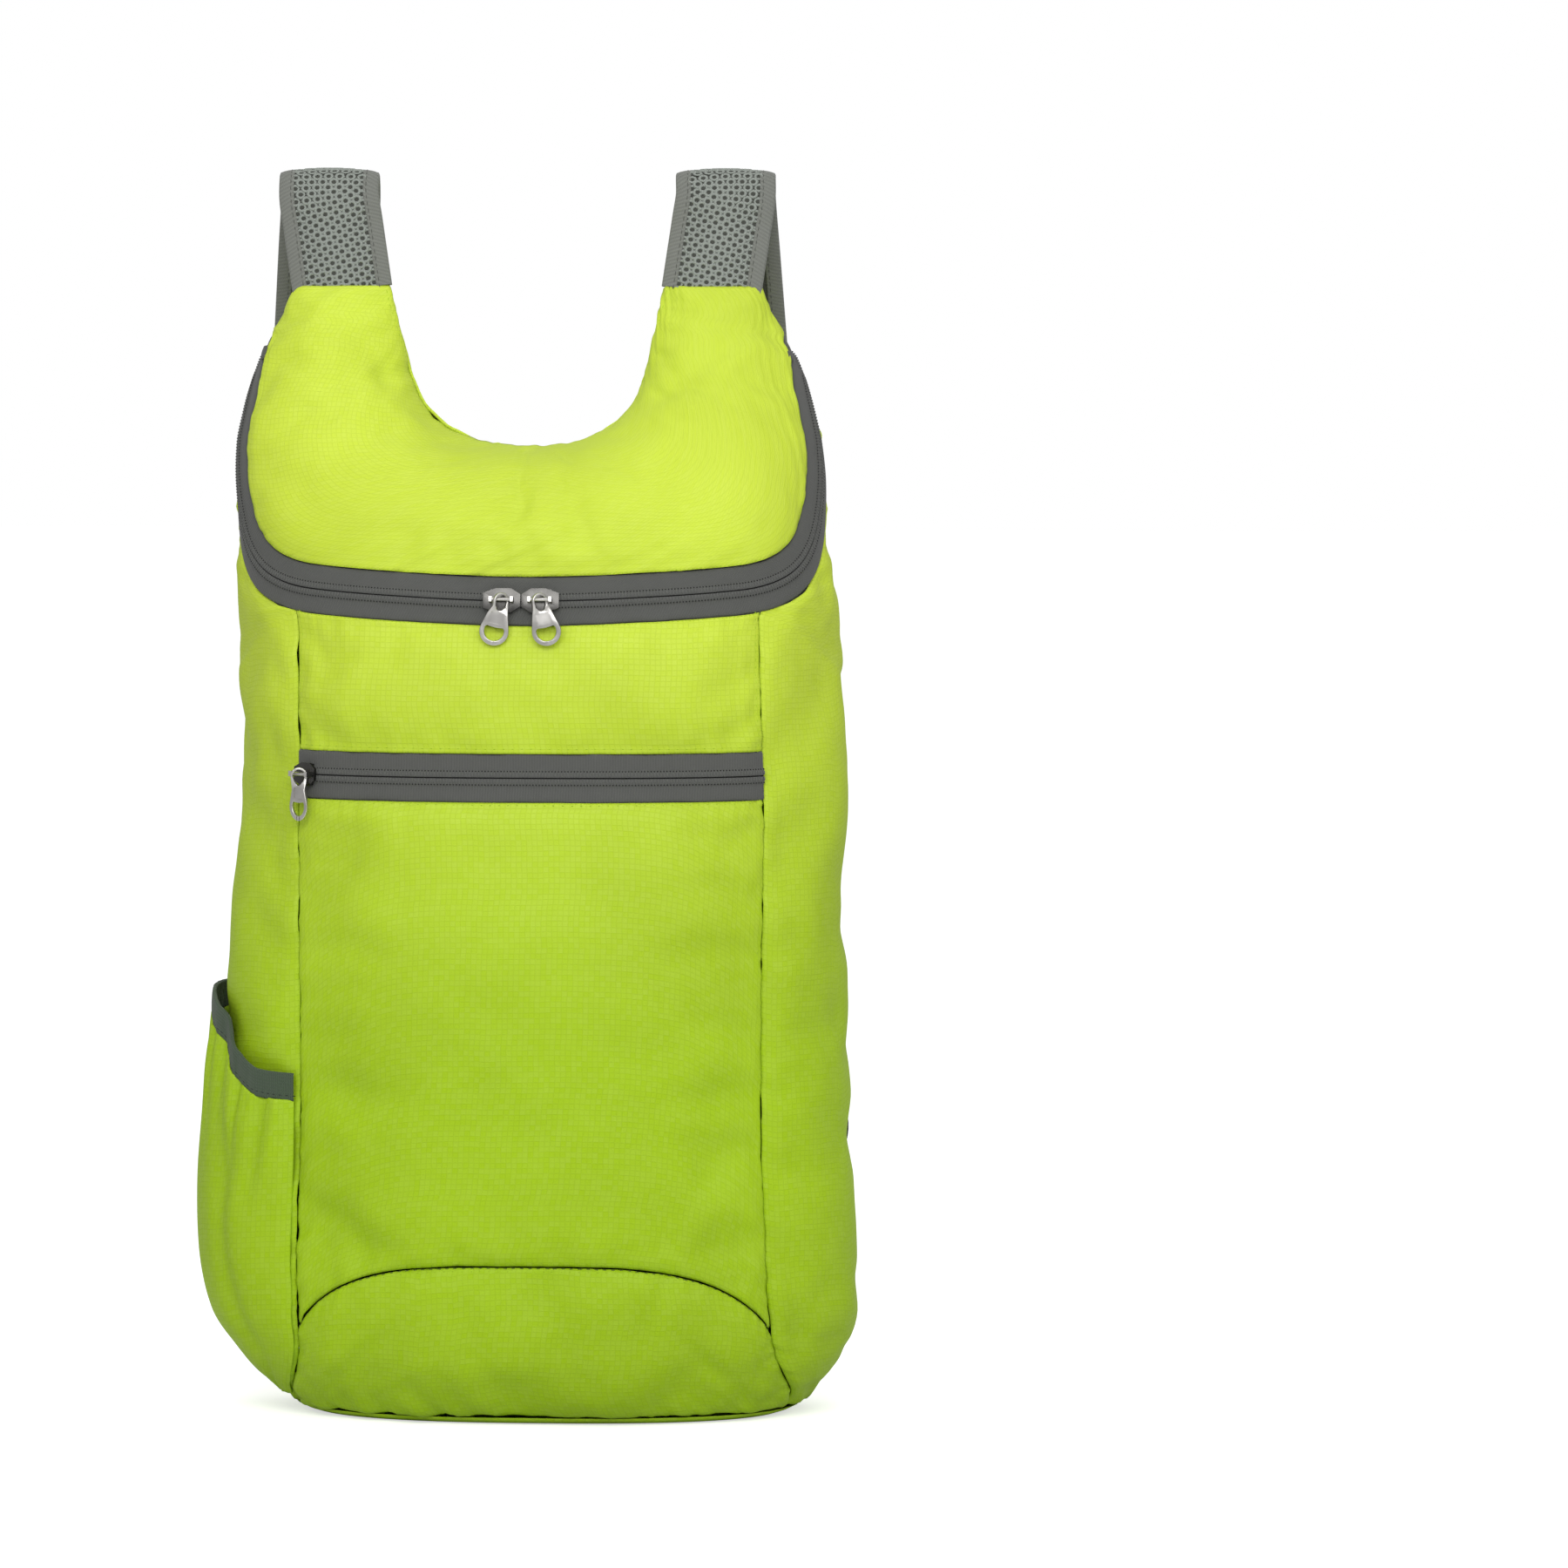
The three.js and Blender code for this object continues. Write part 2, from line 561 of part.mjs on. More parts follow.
function makeFrontPanels() {
  const arc = (angle) => {
    const share = clamp(Math.abs(angle) / frontSeam(ARC_SIDE_HEIGHT), 0, 1);
    return ARC_SIDE_HEIGHT + ARC_RISE * (1 - share ** ARC_POWER);
  };
  const pocketEdge = (sign) => () => POCKET_ZIP_HEIGHT + sign * (TAPE_HALF_WIDTH + GAP / 2);
  const base = () => BASE_SEAM_HEIGHT + GAP / 2;
  const upper = frontPatch(pocketEdge(1), lowerBorderHeight);
  const lower = frontPatch((a) => arc(a) + ARC_GAP / 2, pocketEdge(-1));
  const foot = frontPatch(base, (a) => arc(a) - ARC_GAP / 2);
  addMesh("upper_front_panel", sheet(upper, shares(14), shares(4), CLOTH), "lime");
  addMesh("lower_front_panel", sheet(lower, shares(14), shares(10), CLOTH), "lime");
  addMesh("front_base_panel", sheet(foot, shares(14), FOOT_ROWS, CLOTH), "lime");
}

// Gusset: from the base seam up the front seam, then along the zip, across to the back seam
const FOOT_ROWS = [0, 0.12, 0.28, 0.52, 1]; // rows of every panel from the base seam to the arc's sides
const GUSSET_RISE_ROWS = 5; // from there to the zip
const GUSSET_SIDE_SHARE = 0.66; // of the height at which the zip's lower border meets the back seam
const footHeight = (share) => lerp(BASE_SEAM_HEIGHT + GAP / 2, ARC_SIDE_HEIGHT, share);

function gussetPlace(side) {
  const top = besideZip(1, LOWER_BORDER);
  const corner = besideZip(SEAM_CROSSING, LOWER_BORDER);
  const lastFoot = FOOT_ROWS.length - 1;
  const lastRise = lastFoot + GUSSET_RISE_ROWS;
  return (u, v) => {
    const at = u * (lastRise + SIDE_STATIONS - 1);
    let near;
    let backHeight;
    if (at <= lastFoot) {
      const i = Math.min(Math.floor(at), lastFoot - 1);
      const height = footHeight(lerp(FOOT_ROWS[i], FOOT_ROWS[i + 1], at - i));
      near = { angle: frontEdge(height, 1), height };
      backHeight = height;
    } else if (at <= lastRise) {
      const share = (at - lastFoot) / GUSSET_RISE_ROWS;
      const height = lerp(ARC_SIDE_HEIGHT, corner.height, share);
      near = { angle: frontEdge(height, 1), height };
      backHeight = lerp(ARC_SIDE_HEIGHT, GUSSET_SIDE_SHARE * top.height, share);
    } else {
      const share = (at - lastRise) / SIDE_STATIONS;
      near = besideZip(lerp(SEAM_CROSSING, 1, share), LOWER_BORDER);
      backHeight = lerp(GUSSET_SIDE_SHARE * top.height, top.height, share);
    }
    const angle = side * lerp(near.angle, backEdge(backHeight, -1), v);
    return { angle, height: lerp(near.height, backHeight, v) };
  };
}

function makeGussets() {
  const rows = shares(FOOT_ROWS.length - 1 + GUSSET_RISE_ROWS + SIDE_STATIONS - 1);
  for (const [side, name] of [
    [-1, "gusset_left"],
    [1, "gusset_right"],
  ]) {
    const at = gussetPlace(side);
    const cloth = sheet((u, v) => onBody(at(u, v)), rows, shares(7), CLOTH, 1, (u, v) => offBody(at(u, v)));
    addMesh(name, cloth, "lime");
  }
}

// Back panel: level rows up to where the neck begins to show, then rows that bend to the neck and horn tops
const BACK_LEVEL_SHARE = 0.7;
const HORN_CORNER_COLUMN = 0.62;

function neckDistance(x, height) {
  let best = Infinity;
  for (const [p, q] of neckSegments) {
    const reach = (x - p.x) * (q.x - p.x) + (height - p.y) * (q.y - p.y);
    const along = clamp(reach / p.distanceToSquared(q), 0, 1);
    best = Math.min(best, Math.hypot(x - lerp(p.x, q.x, along), height - lerp(p.y, q.y, along)));
  }
  return best;
}

const neckSamples = neckCurve.getSpacedPoints(60);
const neckSegments = neckSamples.slice(1).map((q, i) => [neckSamples[i], q]);

function backPatch(u, v) {
  const across = 2 * u - 1;
  const distance = Math.abs(across);
  const sideHeight = lerp(BASE_SEAM_HEIGHT + GAP / 2, BODY_HEIGHT, v);
  const level = BACK_LEVEL_SHARE * BODY_HEIGHT;
  const bend = clamp((sideHeight - level) / (BODY_HEIGHT - level), 0, 1);
  const sideReach = 180 - backEdge(sideHeight, 1);
  const topReach = 180 - backEdge(BODY_HEIGHT, 1);
  const onNeck = neckCurve.getPointAt(0.5 + 0.5 * Math.min(distance / HORN_CORNER_COLUMN, 1));
  const neckShare = angleAt(onNeck.x, onNeck.y) / topReach;
  const beyond = clamp((distance - HORN_CORNER_COLUMN) / (1 - HORN_CORNER_COLUMN), 0, 1);
  const topShare = lerp(neckShare, 1, beyond);
  const height = sideHeight <= level ? sideHeight : lerp(level, onNeck.y, bend);
  const reach = lerp(distance, topShare, bend) * sideReach;
  const angle = 180 - Math.sign(across) * reach;
  const x = Math.sign(across) * sectionAt(height).width * Math.sin(reach * DEGREES) ** (2 / SECTION_POWER);
  const sewn = bend === 1 && distance <= HORN_CORNER_COLUMN;
  return bodyPoint(angle, height, sewn ? 0 : neckFade(neckDistance(x, height)));
}

function makeBackPanel() {
  const half = [0, 0.14, 0.28, 0.42, 0.53, HORN_CORNER_COLUMN, 0.75, 0.88, 1];
  const columns = [...half.slice(1).map((c) => (1 - c) / 2).reverse(), ...half.map((c) => (1 + c) / 2)];
  const zipEnd = besideZip(1, LOWER_BORDER).height;
  const rise = shares(GUSSET_RISE_ROWS).slice(1);
  const beside = [4, 7, 9, 11, 13].map((station) => station / SIDE_STATIONS);
  const heights = [
    ...FOOT_ROWS.map(footHeight),
    ...rise.map((share) => lerp(ARC_SIDE_HEIGHT, GUSSET_SIDE_SHARE * zipEnd, share)),
    ...beside.map((share) => lerp(GUSSET_SIDE_SHARE, 1, share) * zipEnd),
    ...[0.4, 0.7, 0.9, 1].map((share) => lerp(zipEnd, BODY_HEIGHT, share)),
  ];
  const rows = heights.map((height) => (height - footHeight(0)) / (BODY_HEIGHT - footHeight(0)));
  addMesh("back_panel", sheet(backPatch, columns, rows, CLOTH, -1), "limeShade");
}

// Base panel: a flat oval whose edge turns up to the base seam
function makeBasePanel() {
  const sides = 32;
  const rim = BASE_SEAM_HEIGHT - GAP / 2;
  const middle = WIDEST_LINE_Y + (sectionAt(0).back - sectionAt(0).front) / 2;
  const centre = (height) => new THREE.Vector3(0, middle, height);
  const angles = shares(sides).slice(0, sides).map((s) => 360 * s - 180);
  const inward = (p, by) => {
    const way = new THREE.Vector3(-p.x, middle - p.y, 0).normalize();
    return p.clone().addScaledVector(way, by);
  };
  const rings = [
    angles.map((a) => bodyPoint(a, 0).lerp(centre(0), 0.5)),
    angles.map((a) => bodyPoint(a, 0)),
    angles.map((a) => bodyPoint(a, 0.4 * rim)),
    angles.map((a) => bodyPoint(a, rim)),
    angles.map((a) => inward(bodyPoint(a, rim), CLOTH)),
    angles.map((a) => inward(bodyPoint(a, 0.4 * rim), CLOTH).setZ(CLOTH)),
    angles.map((a) => bodyPoint(a, 0).lerp(centre(0), 0.5).setZ(CLOTH)),
  ];
  const positions = [centre(0), ...rings.flat(), centre(CLOTH)].flatMap((p) => [p.x, p.y, p.z]);
  const last = positions.length / 3 - 1;
  const faces = [];
  for (let j = 0; j < sides; j += 1) {
    const k = (j + 1) % sides;
    faces.push(0, 1 + k, 1 + j);
    for (let i = 0; i + 1 < rings.length; i += 1) {
      const a = 1 + i * sides;
      const b = a + sides;
      faces.push(a + j, a + k, b + k, a + j, b + k, b + j);
    }
    const a = last - sides;
    faces.push(a + j, a + k, last);
  }
  addMesh("base_panel", facingOut(positions, faces), "limeShade");
}

// Frames along a curve for a swept strip: where it is, which way is across it and which way is out of it
function frameOf(origin, across, out) {
  return { origin, across: across.clone().normalize(), out: out.clone().normalize() };
}

const place = (frame, [across, out]) =>
  frame.origin.clone().addScaledVector(frame.across, across).addScaledVector(frame.out, out);

const sweep = (frames, section) => loft(frames.map((frame) => section.map((point) => place(frame, point))));

// Both zips: two tapes with the coil between them
function coilSection() {
  const w = COIL_HALF_WIDTH;
  return [
    [-w, -COIL_SINK],
    [-0.7 * w, COIL_RISE],
    [0.7 * w, COIL_RISE],
    [w, -COIL_SINK],
  ];
}

function zipFrame(patchAcross, at) {
  const low = patchAcross(-1);
  const high = patchAcross(1);
  const across = high.sub(low);
  const out = patchAcross(0, 1).sub(patchAcross(0, -1)).cross(across);
  return frameOf(at, across, out);
}

function makeZip(name, stations, pointAt) {
  const inner = COIL_HALF_WIDTH + GAP;
  const upper = (u, v) => pointAt(u, lerp(inner, TAPE_HALF_WIDTH, v));
  const lower = (u, v) => pointAt(u, lerp(-TAPE_HALF_WIDTH, -inner, v));
  addMesh(name + "_tape_upper", sheet(upper, stations, [0, 1], TAPE_THICKNESS), "tape");
  addMesh(name + "_tape_lower", sheet(lower, stations, [0, 1], TAPE_THICKNESS), "tape");
  const step = 1e-3;
  const frames = stations.map((u) =>
    zipFrame((across, along = 0) => pointAt(clamp(u + along * step, 0, 1), across), pointAt(u, 0)),
  );
  addMesh(name + "_coil", sweep(frames, coilSection()), "coil");
}

// The pocket zip's surface point: along from its left end to its right end, offset up from the coil
function pocketZipPoint(along, offset) {
  const height = POCKET_ZIP_HEIGHT + offset;
  const reach = frontEdge(height, -1);
  return bodyPoint(lerp(-reach, reach, along), height);
}

// A solid for joining and cutting, from a geometry placed by a matrix
function solid(geometry, matrix = new THREE.Matrix4()) {
  const bare = geometry.clone().applyMatrix4(matrix);
  bare.deleteAttribute("normal");
  bare.deleteAttribute("uv");
  const merged = mergeVertices(bare, 1e-4);
  const vertProperties = new Float32Array(merged.attributes.position.array);
  const triVerts = new Uint32Array(merged.index.array);
  return new wasm.Manifold(new wasm.Mesh({ numProp: 3, vertProperties, triVerts }));
}

function geometryOf(body) {
  const mesh = body.getMesh();
  const geometry = new THREE.BufferGeometry();
  geometry.setAttribute("position", new THREE.BufferAttribute(new Float32Array(mesh.vertProperties), 3));
  geometry.setIndex(new THREE.BufferAttribute(new Uint32Array(mesh.triVerts), 1));
  return geometry;
}

const movedTo = (x, y, z) => new THREE.Matrix4().makeTranslation(x, y, z);

// A flat plate in the local XZ plane, its middle at y, from an outline drawn as (x, z)
function plate(shape, y, thickness) {
  const extrusion = { depth: thickness, bevelEnabled: false, curveSegments: 5 };
  const geometry = new THREE.ExtrudeGeometry(shape, extrusion);
  const upright = new THREE.Matrix4().makeRotationX(Math.PI / 2);
  return solid(geometry, movedTo(0, y + thickness / 2, 0).multiply(upright));
}

const block = (width, depth, height, x, y, z) =>
  solid(new THREE.BoxGeometry(width, depth, height), movedTo(x, y, z));

// Slider in its own axes: X along the zip, -Y out of the cloth, Z up, origin on the cloth at the coil
const SLIDER_FOOT = COIL_RISE + SLIDER_CLEARANCE;
const ROD_OUT = SLIDER_FOOT + SLIDER_THICKNESS + BRIDGE_RISE;

function sliderGeometry(length, width, nose) {
  const half = length / 2;
  const corners = [
    [-1, -0.62],
    [-0.3, -1],
    [0.5, -1],
    [1, -0.5],
    [1, 0.5],
    [0.5, 1],
    [-0.3, 1],
    [-1, 0.62],
  ];
  const outline = new THREE.Shape(
    corners.map(([a, c]) => new THREE.Vector2(nose * a * half, (c * width) / 2)),
  );
  const face = -(SLIDER_FOOT + SLIDER_THICKNESS / 2);
  const footX = (BRIDGE_SPAN + BRIDGE_FOOT) / 2;
  const footTop = ROD_OUT + BRIDGE_ROD_RADIUS + BRIDGE_CAP;
  const footBottom = SLIDER_FOOT + SLIDER_THICKNESS / 2;
  const footMiddle = -(footTop + footBottom) / 2;
  const rod = new THREE.CylinderGeometry(BRIDGE_ROD_RADIUS, BRIDGE_ROD_RADIUS, BRIDGE_SPAN + BRIDGE_FOOT, 8);
  const rodPlace = movedTo(0, -ROD_OUT, 0).multiply(new THREE.Matrix4().makeRotationZ(Math.PI / 2));
  let body = plate(outline, face, SLIDER_THICKNESS).add(solid(rod, rodPlace));
  for (const side of [-1, 1]) {
    const foot = block(BRIDGE_FOOT, footTop - footBottom, 2.2, side * footX, footMiddle, 0);
    const flangeDepth = SLIDER_FOOT - SLIDER_CLEARANCE + SLIDER_THICKNESS / 2;
    const flangeMiddle = -(SLIDER_CLEARANCE + flangeDepth / 2);
    const flangeInner = COIL_HALF_WIDTH + SLIDER_CLEARANCE;
    const flangeWidth = width / 2 - flangeInner - 0.3;
    const flangeHeight = side * (flangeInner + flangeWidth / 2);
    body = body.add(foot).add(block(0.6 * length, flangeDepth, flangeWidth, 0, flangeMiddle, flangeHeight));
  }
  return geometryOf(body);
}

// Pull in its own axes: origin on the rod's axis, the tab hanging down, the eye turned to thread on the rod
function pullGeometry(halfWidth, tilt) {
  const outer = EYE_RADIUS + EYE_WIRE / 2;
  const ringShape = new THREE.Shape().absarc(0, 0, outer, 0, 2 * Math.PI, false);
  ringShape.holes.push(new THREE.Path().absarc(0, 0, EYE_RADIUS - EYE_WIRE / 2, 0, 2 * Math.PI, true));
  const extrusion = { depth: EYE_THICKNESS, bevelEnabled: false, curveSegments: 7 };
  const ring = new THREE.ExtrudeGeometry(ringShape, extrusion);
  const ringPlace = movedTo(0, 0, -EYE_DROP)
    .multiply(new THREE.Matrix4().makeRotationZ(EYE_YAW * DEGREES))
    .multiply(new THREE.Matrix4().makeRotationX(Math.PI / 2))
    .multiply(movedTo(0, 0, -EYE_THICKNESS / 2));
  const top = -(EYE_RADIUS - EYE_WIRE / 2 + 0.1);
  const bottom = -(PULL_LENGTH - outer);
  const bulge = bottom + halfWidth;
  const tab = new THREE.Shape();
  tab.moveTo(-PULL_NECK_HALF_WIDTH, top);
  tab.lineTo(-PULL_NECK_HALF_WIDTH - 1, top - 2.2);
  tab.lineTo(-halfWidth, bulge);
  tab.absarc(0, bulge, halfWidth, Math.PI, 2 * Math.PI, false);
  tab.lineTo(PULL_NECK_HALF_WIDTH + 1, top - 2.2);
  tab.lineTo(PULL_NECK_HALF_WIDTH, top);
  const rim = 0.42 * halfWidth;
  tab.holes.push(new THREE.Path().absarc(0, bulge, halfWidth - rim, 0, 2 * Math.PI, true));
  const lean = movedTo(0, 0, -EYE_DROP).multiply(new THREE.Matrix4().makeRotationY(tilt * DEGREES));
  return geometryOf(solid(ring, ringPlace).add(plate(tab, 0, PULL_THICKNESS).transform(lean.elements)));
}

// Sets a slider on the cloth at a point, with its pull hanging straight down from the bridge
function addSlider(name, point, alongWay, outWay, size, pull) {
  const along = alongWay.clone().setZ(0).normalize();
  const out = outWay.clone().addScaledVector(along, -outWay.dot(along)).normalize();
  const up = along.clone().cross(out.clone().negate()).normalize();
  const level = new THREE.Group();
  level.position.copy(point);
  level.setRotationFromMatrix(new THREE.Matrix4().makeBasis(along, out.clone().negate(), up));
  backpack.add(level);
  addMesh(name + "_slider", sliderGeometry(size.length, size.width, size.nose), "metal", level);
  const hanging = new THREE.Group();
  hanging.position.copy(point).addScaledVector(out, ROD_OUT);
  const vertical = new THREE.Vector3(0, 0, 1);
  const inwards = vertical.clone().cross(along);
  hanging.setRotationFromMatrix(new THREE.Matrix4().makeBasis(along, inwards, vertical));
  backpack.add(hanging);
  addMesh(name + "_pull", pullGeometry(pull.halfWidth, pull.tilt), "metal", hanging);
}

// Share of the main zip's length at a distance across the front
function zipShareAt(x) {
  let low = 0.3;
  let high = 0.7;
  for (let i = 0; i < 40; i += 1) {
    const middle = (low + high) / 2;
    if (zipPoint(middle, 0).x < x) low = middle;
    else high = middle;
  }
  return (low + high) / 2;
}

function makeSliders() {
  for (const [side, name] of [
    [-1, "main_left"],
    [1, "main_right"],
  ]) {
    const share = zipShareAt(MAIN_SLIDERS_MEET_X + (side * (SLIDER_LENGTH + GAP)) / 2);
    const point = zipPoint(share, 0);
    const up = zipPoint(share, 1).sub(zipPoint(share, -1));
    const along = new THREE.Vector3(1, 0, 0);
    const size = { length: SLIDER_LENGTH, width: SLIDER_WIDTH, nose: -side };
    const pull = { halfWidth: MAIN_PULL_HALF_WIDTH, tilt: -side * PULL_TILT };
    addSlider(name, point, along, along.clone().cross(up), size, pull);
  }
  const reach = (s) => pocketZipPoint(s, 0);
  const share = POCKET_SLIDER_INSET / reach(0).distanceTo(reach(1));
  const along = reach(share + 0.02).sub(reach(share - 0.02));
  const up = pocketZipPoint(share, 1).sub(pocketZipPoint(share, -1));
  const size = { length: POCKET_SLIDER_LENGTH, width: POCKET_SLIDER_WIDTH, nose: 1 };
  const pull = { halfWidth: POCKET_PULL_HALF_WIDTH, tilt: 0 };
  addSlider("pocket_zip", reach(share), along, along.clone().cross(up), size, pull);
}

// Side pocket on the left gusset: across from the front seam (0) to the back seam (1), v up from its foot
const POCKET_FRONT_INSET = 1; // degrees inside the front seam
const POCKET_BACK_INSET = 2;
const PLEAT_HALF_WIDTH = 0.05; // as a share of the pocket's width

const mouthHeight = (across) =>
  POCKET_MOUTH_HEIGHT + POCKET_MOUTH_RISE * column(POCKET_MOUTH, "across", "rise", across);

// A point over the left gusset, standing off its surface
function overGusset(across, height, stand) {
  const first = frontSeam(height) + POCKET_FRONT_INSET;
  const last = backSeam(height) - POCKET_BACK_INSET;
  const point = (a, h) => bodyPoint(-lerp(first, last, a), h);
  const out = point(across + 1e-3, height).sub(point(across - 1e-3, height));
  out.cross(point(across, height - 0.1).sub(point(across, height + 0.1))).normalize();
  return point(across, height).addScaledVector(out, stand);
}

// How far the pocket stands off the gusset, with the pleat's valley near the front
function pocketStand(across, rise) {
  const over = Math.max(Math.sin(Math.PI * across), 0) ** 0.75;
  const tall = Math.sin(Math.PI * (0.08 + 0.72 * clamp(rise, 0, 1))) ** 0.8;
  const pleat = (across - lerp(0.1, 0.36, Math.sqrt(clamp(rise, 0, 1)))) / PLEAT_HALF_WIDTH;
  const depth = PLEAT_DEPTH * Math.exp(-pleat * pleat) * over;
  return GAP + POCKET_FULLNESS * over * tall - depth * clamp(4 * rise, 0, 1);
}

function makeSidePocket() {
  const clothTop = (across) => mouthHeight(across) - BINDING_HEIGHT - GAP;
  const rise = (across, height) => (height - POCKET_FOOT_HEIGHT) / (mouthHeight(across) - POCKET_FOOT_HEIGHT);
  const cloth = (u, v) => {
    const height = lerp(POCKET_FOOT_HEIGHT, clothTop(u), v);
    return overGusset(u, height, pocketStand(u, rise(u, height)) + CLOTH);
  };
  const binding = (u, v) => {
    const height = lerp(clothTop(u) + GAP, mouthHeight(u), v);
    return overGusset(u, height, pocketStand(u, rise(u, clothTop(u))) + BINDING_THICKNESS);
  };
  const columns = [0, 0.06, 0.13, 0.2, 0.27, 0.33, 0.39, 0.46, 0.55, 0.66, 0.78, 0.9, 1];
  const rows = [0, 0.05, 0.12, 0.22, 0.35, 0.5, 0.66, 0.82, 1];
  addMesh("side_pocket", sheet(cloth, columns, rows, CLOTH, -1), "lime");
  addMesh("side_pocket_binding", sheet(binding, columns, [0, 1], BINDING_THICKNESS, -1), "elastic");
}

// Straps: the padded part runs up from the horn, folds over and hangs down behind, mirrored by side
function strapRoute(side) {
  const point = (x, y, z) => new THREE.Vector3(side * x - HORN_SWAY, y, z);
  const start = BODY_HEIGHT + GAP;
  const foldHeight = STRAP_TOP_HEIGHT - STRAP_FOLD_RADIUS - STRAP_THICKNESS / 2;
  const front = STRAP_FOLD_Y - STRAP_FOLD_RADIUS;
  const rise = shares(3).slice(0, 3).map((s) => {
    const eased = s * s * (3 - 2 * s);
    return point(
      lerp(STRAP_ROOT_X, STRAP_FOLD_X, s),
      lerp(STRAP_ROOT_Y, front, lerp(s, eased, 0.4)),
      lerp(start, foldHeight, s),
    );
  });
  const fold = shares(3).map((s) => {
    const turn = Math.PI * s;
    return point(
      STRAP_FOLD_X,
      STRAP_FOLD_Y - STRAP_FOLD_RADIUS * Math.cos(turn),
      foldHeight + STRAP_FOLD_RADIUS * Math.sin(turn),
    );
  });
  const hang = STRAP_HANG.map((row) =>
    point(
      STRAP_FOLD_X + STRAP_SPREAD * row.out,
      STRAP_FOLD_Y + STRAP_FOLD_RADIUS + STRAP_BOW * row.back,
      foldHeight - STRAP_DROP * row.drop,
    ),
  );
  return [...rise, ...fold, ...hang];
}

// Frames along a route, with the strap's width kept level; out is the side that faces into the strap's loop.
// Steps says how many steps each stretch between two of the points takes.
function routeFrames(points, steps, widthWay = () => new THREE.Vector3(1, 0, 0)) {
  const curve = new THREE.CatmullRomCurve3(points, false, "centripetal");
  const stops = steps.flatMap((count, i) => shares(count).slice(0, count).map((s) => (i + s) / steps.length));
  return [...stops, 1].map((s) => {
    const tangent = curve.getTangent(s);
    const way = widthWay(s);
    const across = way.clone().addScaledVector(tangent, -way.dot(tangent)).normalize();
    return frameOf(curve.getPoint(s), across, tangent.cross(across));
  });
}

const evenSteps = (points, count) => points.slice(1).map(() => count);

function padSection(inset) {
  const half = STRAP_WIDTH / 2 - inset;
  const crown = STRAP_THICKNESS / 2;
  const shoulder = half - EDGING_WIDTH + inset;
  return [
    [-half, -0.3 * crown],
    [-shoulder, -0.62 * crown],
    [0, -crown],
    [shoulder, -0.62 * crown],
    [half, -0.3 * crown],
    [half, 0.3 * crown],
    [shoulder, 0.55 * crown],
    [0, 0.85 * crown],
    [-shoulder, 0.55 * crown],
    [-half, 0.3 * crown],
  ];
}

// Folded edging round one edge of the pad, as a channel open to the pad's middle
function edgingSection(side) {
  const edge = STRAP_WIDTH / 2;
  const inner = edge - EDGING_WIDTH;
  const crown = STRAP_THICKNESS / 2;
  const lift = GAP + 0.1;
  const t = EDGING_THICKNESS;
  const profile = [
    [inner, -0.62 * crown - lift - t],
    [edge, -0.3 * crown - lift - t],
    [edge, 0.3 * crown + lift + t],
    [inner, 0.55 * crown + lift + t],
    [inner, 0.55 * crown + lift],
    [edge - t, 0.3 * crown + lift],
    [edge - t, -0.3 * crown - lift],
    [inner, -0.62 * crown - lift],
  ];
  return profile.map(([across, out]) => [side * across, out]);
}

const band = (width, thickness) => [
  [-width / 2, -thickness / 2],
  [width / 2, -thickness / 2],
  [width / 2, thickness / 2],
  [-width / 2, thickness / 2],
];

// The first ring of a strap piece is slid along the strap to lie level just above the horn
function levelStart(frames, section) {
  const rings = frames.map((frame) => section.map((point) => place(frame, point)));
  const way = frames[0].out.clone().cross(frames[0].across).normalize();
  rings[0] = rings[0].map((p) => p.addScaledVector(way, (BODY_HEIGHT + GAP - p.z) / way.z));
  return loft(rings);
}

function makeStrap(side, name) {
  const route = strapRoute(side);
  const frames = routeFrames(route, evenSteps(route, 2));
  addMesh("strap_pad_" + name, levelStart(frames, padSection(EDGING_THICKNESS + GAP)), "mesh");
  addMesh("strap_edging_outer_" + name, levelStart(frames, edgingSection(side)), "edging");
  addMesh("strap_edging_inner_" + name, levelStart(frames, edgingSection(-side)), "edging");
  makeBuckle(frames[frames.length - 1], side, name);
}

